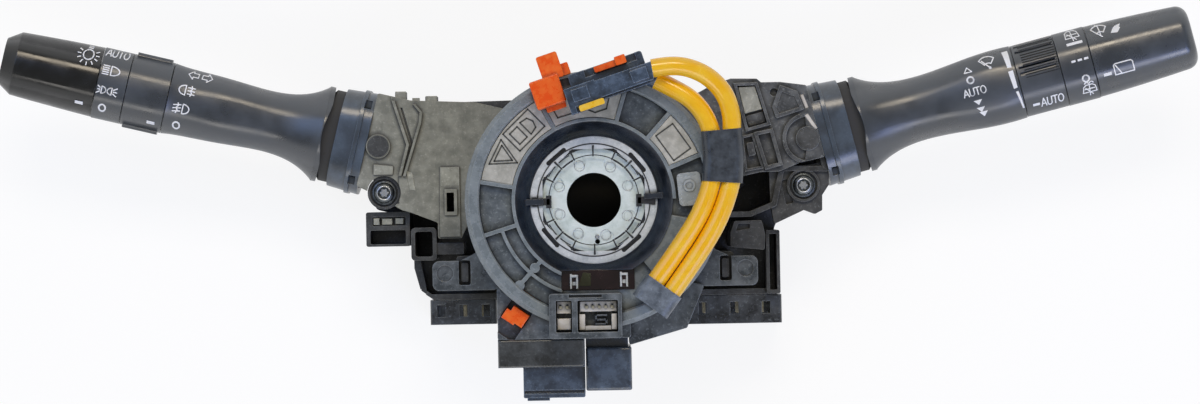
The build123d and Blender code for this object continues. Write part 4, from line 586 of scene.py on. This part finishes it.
# olive end of the film under the window and the two white clips at its lower edge
film_z = 88.0
shape = bmesh.new()
slab(shape, [(-6.2, -31.2), (-1.6, -31.2), (-1.6, -26.6), (-4.4, -26.2)], film_z, film_z + 0.12)
built("film_end", shape, "rotor", film_olive)
shape = bmesh.new()
for x, y in ((-7.7, -29.4), (10.4, -28.9)):
    slab(shape, box_points(x - 1.1, y, 0.7, 5.4), film_z, film_z + 2.9, soften=0.15)
    slab(shape, box_points(x + 1.1, y - 0.2, 0.7, 5.0), film_z, film_z + 2.9, soften=0.15)
    slab(shape, box_points(x, y + 1.9, 2.8, 0.9), film_z, film_z + 3.0, soften=0.15)
    slab(shape, box_points(x, y - 0.8, 2.4, 1.4), film_z, film_z + 2.4, soften=0.15)
built("window_clips", shape, "rotor", acetal_white)

# cream carrier of the pins inside the two plug sockets, and the black key of the larger one
socket_floor = 90.4
pin_step = 4.6
wall_step = pin_step + 1.0
key_step = pin_step + 0.8
shape = bmesh.new()
for x, y, wide, tall, step, soften in (
    (-11.5, -38.6, 5.2, 4.4, pin_step, 0.2), (-11.5, -44.7, 5.2, 4.2, wall_step, 0.3),
    (0.9, -38.4, 13.4, 3.8, pin_step, 0.2), (-5.0, -44.0, 2.2, 5.8, wall_step, 0.2),
    (6.6, -44.0, 2.0, 5.8, wall_step, 0.2), (0.8, -46.2, 9.4, 1.6, wall_step, 0.2),
):
    slab(shape, box_points(x, y, wide, tall), socket_floor, socket_floor + step, soften=soften)
built("pin_carrier", shape, "rotor", pbt_cream)
shape = bmesh.new()
for x in (-12.8, -10.2, -3.6, -1.2, 1.2, 3.6, 6.0):
    slab(shape, box_points(x, -38.3, 0.5, 1.6), socket_floor + pin_step, socket_floor + pin_step + 0.12)
for y in (-41.6, -43.2, -44.8):
    slab(shape, box_points(1.9, y, 4.2, 0.6), socket_floor, socket_floor + key_step)
slab(shape, box_points(0.0, -42.4, 0.6, 2.2), socket_floor, socket_floor + key_step)
slab(shape, box_points(3.8, -44.0, 0.6, 2.2), socket_floor, socket_floor + key_step)
built("socket_key", shape, "rotor", pbt_black)

# black keys on the snap ring's sides, the dark slots and gaps of its tongues and its two outlines
ring_top = 85.2
tongue_inner, tongue_outer = 15.9, 19.9
shape = bmesh.new()
for side in (-1, 1):
    slab(shape, box_points(side * 18.6, -0.4, 5.6, 2.6), ring_top, ring_top + 0.5, soften=0.2)
    slab(shape, box_points(side * 16.4, -0.4, 2.0, 4.6), ring_top, ring_top + 0.5, soften=0.2)
    slab(shape, box_points(side * 21.6, -0.4, 1.4, 3.4), ring_top, ring_top + 0.6, soften=0.2)
for middle in (35, 55, 125, 145, 215, 235, 305, 325):
    slab(shape, sector_points(tongue_inner, 16.5, middle - 8, middle + 8), ring_top, ring_top + 0.16)
    slab(shape, sector_points(18.3, 18.7, middle - 7, middle + 7), ring_top, ring_top + 0.16)
for middle in (25, 45, 65, 90, 115, 135, 155, 205, 225, 245, 270, 295, 315, 335):
    slab(shape, sector_points(tongue_inner, tongue_outer, middle - 0.9, middle + 0.9), ring_top,
         ring_top + 0.14)
for radius in (16.2, 20.3):
    slab(shape, sector_points(radius, radius + 0.35, 0, 359.9), ring_top, ring_top + 0.12)
built("ring_keys", shape, "rotor", rubber_matt)

# round punch marks of the hub plate and its drive pin, all at one distance from the column axis
hub_top = 83.0
mark_reach = 13.4
shape = bmesh.new()
for angle in (22, 62, 112, 158, 202, 244, 288, 334):
    x, y = mark_reach * cos(radians(angle)), mark_reach * sin(radians(angle))
    turned(shape, x, y, [(1.75, hub_top), (1.75, hub_top + 0.12), (1.95, hub_top + 0.12), (1.95, hub_top)])
built("hub_marks", shape, "rotor", steel_bright)
shape = bmesh.new()
turned(shape, 1.0, -mark_reach, [(0, hub_top + 1.0), (0.5, hub_top + 1.0), (0.8, hub_top + 0.7),
                                 (0.85, hub_top), (0, hub_top)])
built("drive_pin", shape, "rotor", steel_bright)

# ---------------------------------------------------------------- case screws with star recesses
screw_x, screw_y, screw_seat = 78.8, 4.1, 46.0
head_profile = [
    (0, 0.9), (2.0, 0.9), (2.05, 2.3), (2.3, 2.55), (2.9, 2.5), (3.5, 2.1), (3.7, 1.2), (3.9, 0.9),
    (4.5, 0.8), (4.6, 0.6), (4.6, 0), (1.8, 0), (1.8, -16), (0, -16),
]
lip_profile = [(2.25, 2.56), (2.5, 2.62), (2.8, 2.56), (2.5, 2.4), (2.25, 2.56)]
shape = bmesh.new()
drives = bmesh.new()
for x in (-screw_x, screw_x):
    turned(shape, x, screw_y, [(r, screw_seat + z) for r, z in head_profile])
    slab(drives, star(x, screw_y, 1.55, 0.28), screw_seat + 0.92, screw_seat + 1.3, soften=0.1)
    turned(drives, x, screw_y, [(r, screw_seat + z) for r, z in lip_profile])
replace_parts(built("screws", shape, "base", screw_dark), "case_screws")
built("screw_drives", drives, "base", steel_bright)

# ---------------------------------------------------------------- pale parts showing in the covers
cover_top = 50.0
harness_step = 40.6
shape = bmesh.new()
for x, y, wide, tall, high in ((-82.2, -6.6, 2.2, 2.5, 43.1), (-78.2, -6.7, 3.8, 2.3, 42.8),
                               (-73.6, -6.6, 3.0, 2.3, 42.4)):
    slab(shape, box_points(x, y, wide, tall), harness_step, high, soften=0.2)
built("harness_guides", shape, "base", nylon_pale)
shape = bmesh.new()
for points in ([(77.9, 38.0), (79.2, 38.2), (81.1, 33.3), (80.0, 32.8)],
               [(79.5, 30.3), (80.8, 31.0), (84.4, 25.5), (83.4, 24.7)]):
    slab(shape, points, cover_top - 1.7, cover_top - 0.2)
built("cream_guides", shape, "base", pbt_cream)
shape = bmesh.new()
slab(shape, [(54.9, 41.2), (61.0, 41.5), (63.6, 32.9), (57.1, 31.3)], cover_top + 0.6, cover_top + 0.75,
     soften=0.1)
for x, y, wide, tall, low, high in ((-71.9, 40.6, 4.0, 3.0, 47.5, 47.9), (-60.4, 39.2, 4.2, 2.0, 47.5, 47.8),
                                    (-66.2, 38.9, 2.8, 1.4, 46.6, 47.4)):
    slab(shape, box_points(x, y, wide, tall), low, high, soften=0.1)
slab(shape, [(-82.3, 14.8), (-75.1, 14.0), (-75.3, 11.0), (-82.5, 11.0)], cover_top - 0.1, cover_top + 0.02)
slab(shape, [(-57.4, 13.3), (-50.3, 13.3), (-50.3, 6.4), (-57.4, 6.4)], cover_top + 0.7, cover_top + 0.76)
slab(shape, [(-70.2, 12.2), (-68.0, 11.6), (-66.8, 4.8), (-69.0, 5.2)], cover_top, cover_top + 0.1)
built("pale_pads", shape, "base", nylon_pale)


# ---------------------------------------------------------------- printing on the stalks
def arc(wide, tall, start, end, x=0.0, y=0.0, steps=14):
    """Points along an elliptical arc, angles in degrees."""
    return [(x + wide * cos(radians(start + (end - start) * i / steps)),
             y + tall * sin(radians(start + (end - start) * i / steps))) for i in range(steps + 1)]


def strokes(*runs, wide=0.44):
    """Four-cornered patches along open lines of points, each a little longer than its step so that they
    meet."""
    overlap = 0.6
    patches = []
    for run in runs:
        for (ax, ay), (bx, by) in zip(run, run[1:]):
            long = max(((bx - ax) ** 2 + (by - ay) ** 2) ** 0.5, 1e-6)
            tx, ty = (bx - ax) / long * wide / 2, (by - ay) / long * wide / 2
            ux, uy = tx * overlap, ty * overlap
            patches.append([(ax - ux + ty, ay - uy - tx), (bx + ux + ty, by + uy - tx),
                            (bx + ux - ty, by + uy + tx), (ax - ux - ty, ay - uy + tx)])
    return patches


def mirrored(patches):
    """The same patches mirrored left to right."""
    return [[(-x, y) for x, y in reversed(patch)] for patch in patches]


def placed_at(patches, x):
    """The same patches moved along a sign."""
    return [[(u + x, v) for u, v in patch] for patch in patches]


def closed(*points):
    """A line that returns to its first point."""
    return list(points) + [points[0]]


# signs in mm; x reads along the word and y is up
ring_sign = strokes(arc(1.2, 1.2, 0, 360, steps=22), wide=0.6)
letter_a = strokes([(-0.95, -1.4), (0.0, 1.4), (0.95, -1.4)], [(-0.6, -0.5), (0.6, -0.5)])
letter_u = strokes([(-0.8, 1.4), (-0.8, -0.5)] + arc(0.8, 0.8, 180, 360, 0, -0.6) + [(0.8, 1.4)])
letter_t = strokes([(-0.95, 1.35), (0.95, 1.35)], [(0.0, 1.3), (0.0, -1.4)])
letter_o = strokes(arc(0.95, 1.35, 0, 360, steps=20))
auto_word = (placed_at(letter_a, -3.3) + placed_at(letter_u, -1.1) + placed_at(letter_t, 1.0)
             + placed_at(letter_o, 3.2))
bulb_rays = [[(r * cos(radians(a)), r * sin(radians(a))) for r in (2.9, 4.0)]
             for a in (205, 235, 270, 305, 335, 0, 25, 155, 180)]
bulb_sign = strokes(arc(1.9, 1.9, 0, 360, steps=26), [(-0.8, 2.6), (0.8, 2.6)], [(-0.7, 3.2), (0.7, 3.2)],
                    *bulb_rays)
beam_sign = strokes([(-0.3, -1.7), (-0.3, 1.7)] + arc(3.2, 1.7, 90, -90, -0.3, 0),
                    *[[(-3.4, h), (-1.2, h)] for h in (-1.6, -0.8, 0.0, 0.8, 1.6)])
half_lamp = strokes([(1.9, -1.3), (1.9, 1.3)] + arc(1.6, 1.3, 90, 270, 1.9, 0),
                    [(2.5, 0.0), (3.9, 0.0)], [(2.5, 0.7), (3.8, 1.5)], [(2.5, -0.7), (3.8, -1.5)])
side_sign = half_lamp + mirrored(half_lamp)
fog_front = strokes([(0.5, -1.8), (0.5, 1.8)] + arc(2.4, 1.8, 90, -90, 0.5, 0),
                    *[[(-3.0, h - 0.3), (-0.3, h + 0.2)] for h in (-1.2, 0.0, 1.2)],
                    [(-1.5, 1.9), (-1.2, 0.9), (-1.9, 0.1), (-1.3, -0.8), (-1.8, -1.9)])
fog_rear = strokes([(-0.5, -1.8), (-0.5, 1.8)] + arc(2.4, 1.8, 90, 270, -0.5, 0),
                   *[[(0.4, h), (3.0, h)] for h in (-1.2, 0.0, 1.2)],
                   [(1.6, 1.9), (1.9, 0.9), (1.3, 0.1), (1.9, -0.8), (1.5, -1.9)])
arrow = strokes(closed((4.5, 0.0), (2.7, 1.6), (2.7, 0.75), (0.7, 0.75), (0.7, -0.75), (2.7, -0.75),
                       (2.7, -1.6)), wide=0.38)
fan = strokes(closed(*arc(4.4, 4.4, 130, 50, 0, -2.2), *arc(1.9, 1.9, 50, 130, 0, -2.2)))
wiper_sign = fan + strokes([(-1.9, 1.0), (0.5, -2.2)], arc(0.3, 0.3, 0, 360, 0.5, -2.2, steps=8))
rear_pane = strokes(closed((-2.6, -1.0), (-2.2, 1.0), (-1.2, 1.7), (1.2, 1.7), (2.2, 1.0), (2.6, -1.0)),
                    arc(0.8, 0.8, 20, 160, -0.9, 1.9, steps=8), arc(0.8, 0.8, 20, 160, 0.9, 1.9, steps=8),
                    [(0.0, 1.6), (0.0, -2.2)], [(-1.5, 0.6), (1.2, -2.0)], [(-1.9, 0.2), (1.9, 0.2)],
                    wide=0.38)
spray_sign = fan + strokes([(-2.4, 0.6), (0.4, -2.3)], arc(0.8, 0.8, 20, 160, -1.2, 2.2, steps=8),
                           arc(0.8, 0.8, 20, 160, 0.5, 2.4, steps=8), [(0.0, 2.0), (0.0, -1.9)], wide=0.4)
pane_sign = strokes(closed((-3.6, -2.0), (-3.6, 1.6), (-3.0, 2.1), (3.0, 2.1), (3.6, 1.6), (3.6, -2.0)),
                    [(-3.0, 1.6), (-1.2, -1.9)])
bar = [box_points(0, 0, 3.0, 1.1)]
hand = [[(-1.9, -1.0), (0.6, -1.4), (2.2, 0.2), (0.6, 1.4)], [(0.2, 0.4), (2.0, 0.6), (2.6, 1.6), (1.0, 1.4)],
        [(-1.9, -1.0), (-0.6, 0.6), (0.6, 1.4), (0.0, -0.4)]]
point_up = strokes(closed((-1.4, -0.8), (1.4, -0.8), (0.0, 1.0)), wide=0.4)
point_down = [[(-1.6, 0.9), (0.0, -1.0), (0.0, -1.0), (1.6, 0.9)]]


def stalk_point(side, along, across):
    """Place in mm of a point given along a stalk from its pivot and across it."""
    return (side * (pivot[0] + along * cos(rise) - across * sin(rise)),
            pivot[1] + along * sin(rise) + across * cos(rise))


def laid(shape, surface, spots, proud):
    """Lays a four-cornered patch straight down on a surface as a fine grid, this many mm proud of it."""
    grid_step = 0.6
    ray_start = 150
    longest = [max(abs(spots[a][0] - spots[b][0]) + abs(spots[a][1] - spots[b][1]) for a, b in pair)
               for pair in (((0, 1), (3, 2)), ((0, 3), (1, 2)))]
    columns, levels = [max(1, round(long / grid_step)) for long in longest]
    rows = []
    for j in range(levels + 1):
        row = []
        for i in range(columns + 1):
            a, b = i / columns, j / levels
            x, y = [(spots[0][k] * (1 - a) + spots[1][k] * a) * (1 - b)
                    + (spots[3][k] * (1 - a) + spots[2][k] * a) * b for k in (0, 1)]
            hit = surface.ray_cast(Vector((x * MM, y * MM, ray_start * MM)), Vector((0, 0, -1)))[0]
            row.append(shape.verts.new(hit + Vector((0, 0, proud * MM))) if hit else None)
        rows.append(row)
    for low, high in zip(rows, rows[1:]):
        for i in range(columns):
            quad = (low[i], low[i + 1], high[i + 1], high[i])
            if all(quad):
                shape.faces.new(quad)


def printed(name, side, marks, proud=0.05):
    """Ink on a stalk piece; each mark is a sign with its place along the stalk and across it."""
    source = nodes[name]
    corners = [source.matrix_world @ vert.co for vert in source.data.vertices]
    surface = BVHTree.FromPolygons(corners, [tuple(face.vertices) for face in source.data.polygons])
    shape = bmesh.new()
    for patches, along, across in marks:
        for patch in patches:
            laid(shape, surface, [stalk_point(side, along + side * u, across + v) for u, v in patch], proud)
    bmesh.ops.remove_doubles(shape, verts=shape.verts, dist=0.00001)
    return shape


left_marks = {
    "light_knob": ("light_knob", [(bulb_sign, 112.6, 9.3), (bar, 112.2, -9.0)]),
    "light_label_ring": ("light_lever", [
        (auto_word, 102.2, 11.9), (beam_sign, 102.6, 5.2), (side_sign, 103.0, -2.4), (ring_sign, 103.4, -9.0),
    ]),
    "fog_ring": ("fog_ring", [(bar, 84.9, -10.4)]),
    "light_lever": ("light_lever", [
        (arrow, 70.8, 10.6), (mirrored(arrow), 70.8, 10.6), (fog_rear, 74.3, 4.4), (fog_front, 74.9, -2.7),
        (ring_sign, 75.6, -9.2),
    ]),
}
right_marks = {
    "wiper_lever": ("wiper_lever", [
        (wiper_sign, 72.0, 10.0), (point_up, 64.2, 9.0), (ring_sign, 64.3, 5.2), (auto_word, 64.8, 0.7),
        (point_down, 65.0, -3.6), (point_down, 65.4, -6.4), (point_down, 66.0, -8.2),
        ([[(0, 0), (2.4, 0.1), (2.0, -6.4), (0.4, -6.2)]], 78.2, 12.2),
        ([[(0, 0), (1.9, 0.1), (2.0, -6.6), (0.5, -6.8)]], 78.5, 4.6),
        ([[(0, 0), (1.0, 0.1), (1.9, -6.6), (1.2, -6.6)]], 79.4, -3.4),
    ]),
    "interval_ring": ("interval_ring", [
        ([box_points(0, 0, 2.6, 0.9)], 85.8, -10.0), (auto_word, 92.0, -9.8),
    ]),
    "wiper_label_ring": ("wiper_lever", [
        (rear_pane, 105.0, 11.6), ([box_points(0, 0, 6.0, 1.0)], 105.0, 8.4),
        ([box_points(x, 0, 1.6, 0.8) for x in (-2.4, 0.0, 2.4)], 105.2, 1.9), (ring_sign, 105.6, -5.4),
        (rear_pane, 106.2, -9.6),
    ]),
    "rear_wiper_knob": ("rear_wiper_knob", [
        (spray_sign, 115.2, 10.4), (hand, 120.8, 9.6), (bar, 113.8, -6.0), (pane_sign, 120.2, -5.0),
    ]),
}

# fine grip ribs over the upper half of the interval ring, with a strip of painted shade in the groove on each
# side of a rib
rib_long = 13.4
rib_middle = 91.2
rib_step = 0.95
rib = [box_points(0, 0, rib_long, 0.44)]
groove_shade = [box_points(0, 0, rib_long, 0.36)]
ribs = printed("interval_ring", 1, [(rib, rib_middle, 1.2 + rib_step * i) for i in range(13)], proud=0.3)
walls = bmesh.ops.extrude_face_region(ribs, geom=ribs.faces[:])["geom"]
feet = [item for item in walls if isinstance(item, bmesh.types.BMVert)]
bmesh.ops.translate(ribs, verts=feet, vec=(0, 0, -0.4 * MM))
built("interval_ribs", ribs, "interval_ring", abs_satin)
groove_shade_strips = printed("interval_ring", 1, [(groove_shade, rib_middle, 0.72 + rib_step * i) for i in range(14)],
                  proud=0.06)
built("interval_groove_shade", groove_shade_strips, "interval_ring", rubber_matt)

for side, marks in ((-1, left_marks), (1, right_marks)):
    for name, (body, signs_on) in marks.items():
        built(name + "_printing", printed(name, side, signs_on), body, ink_white)
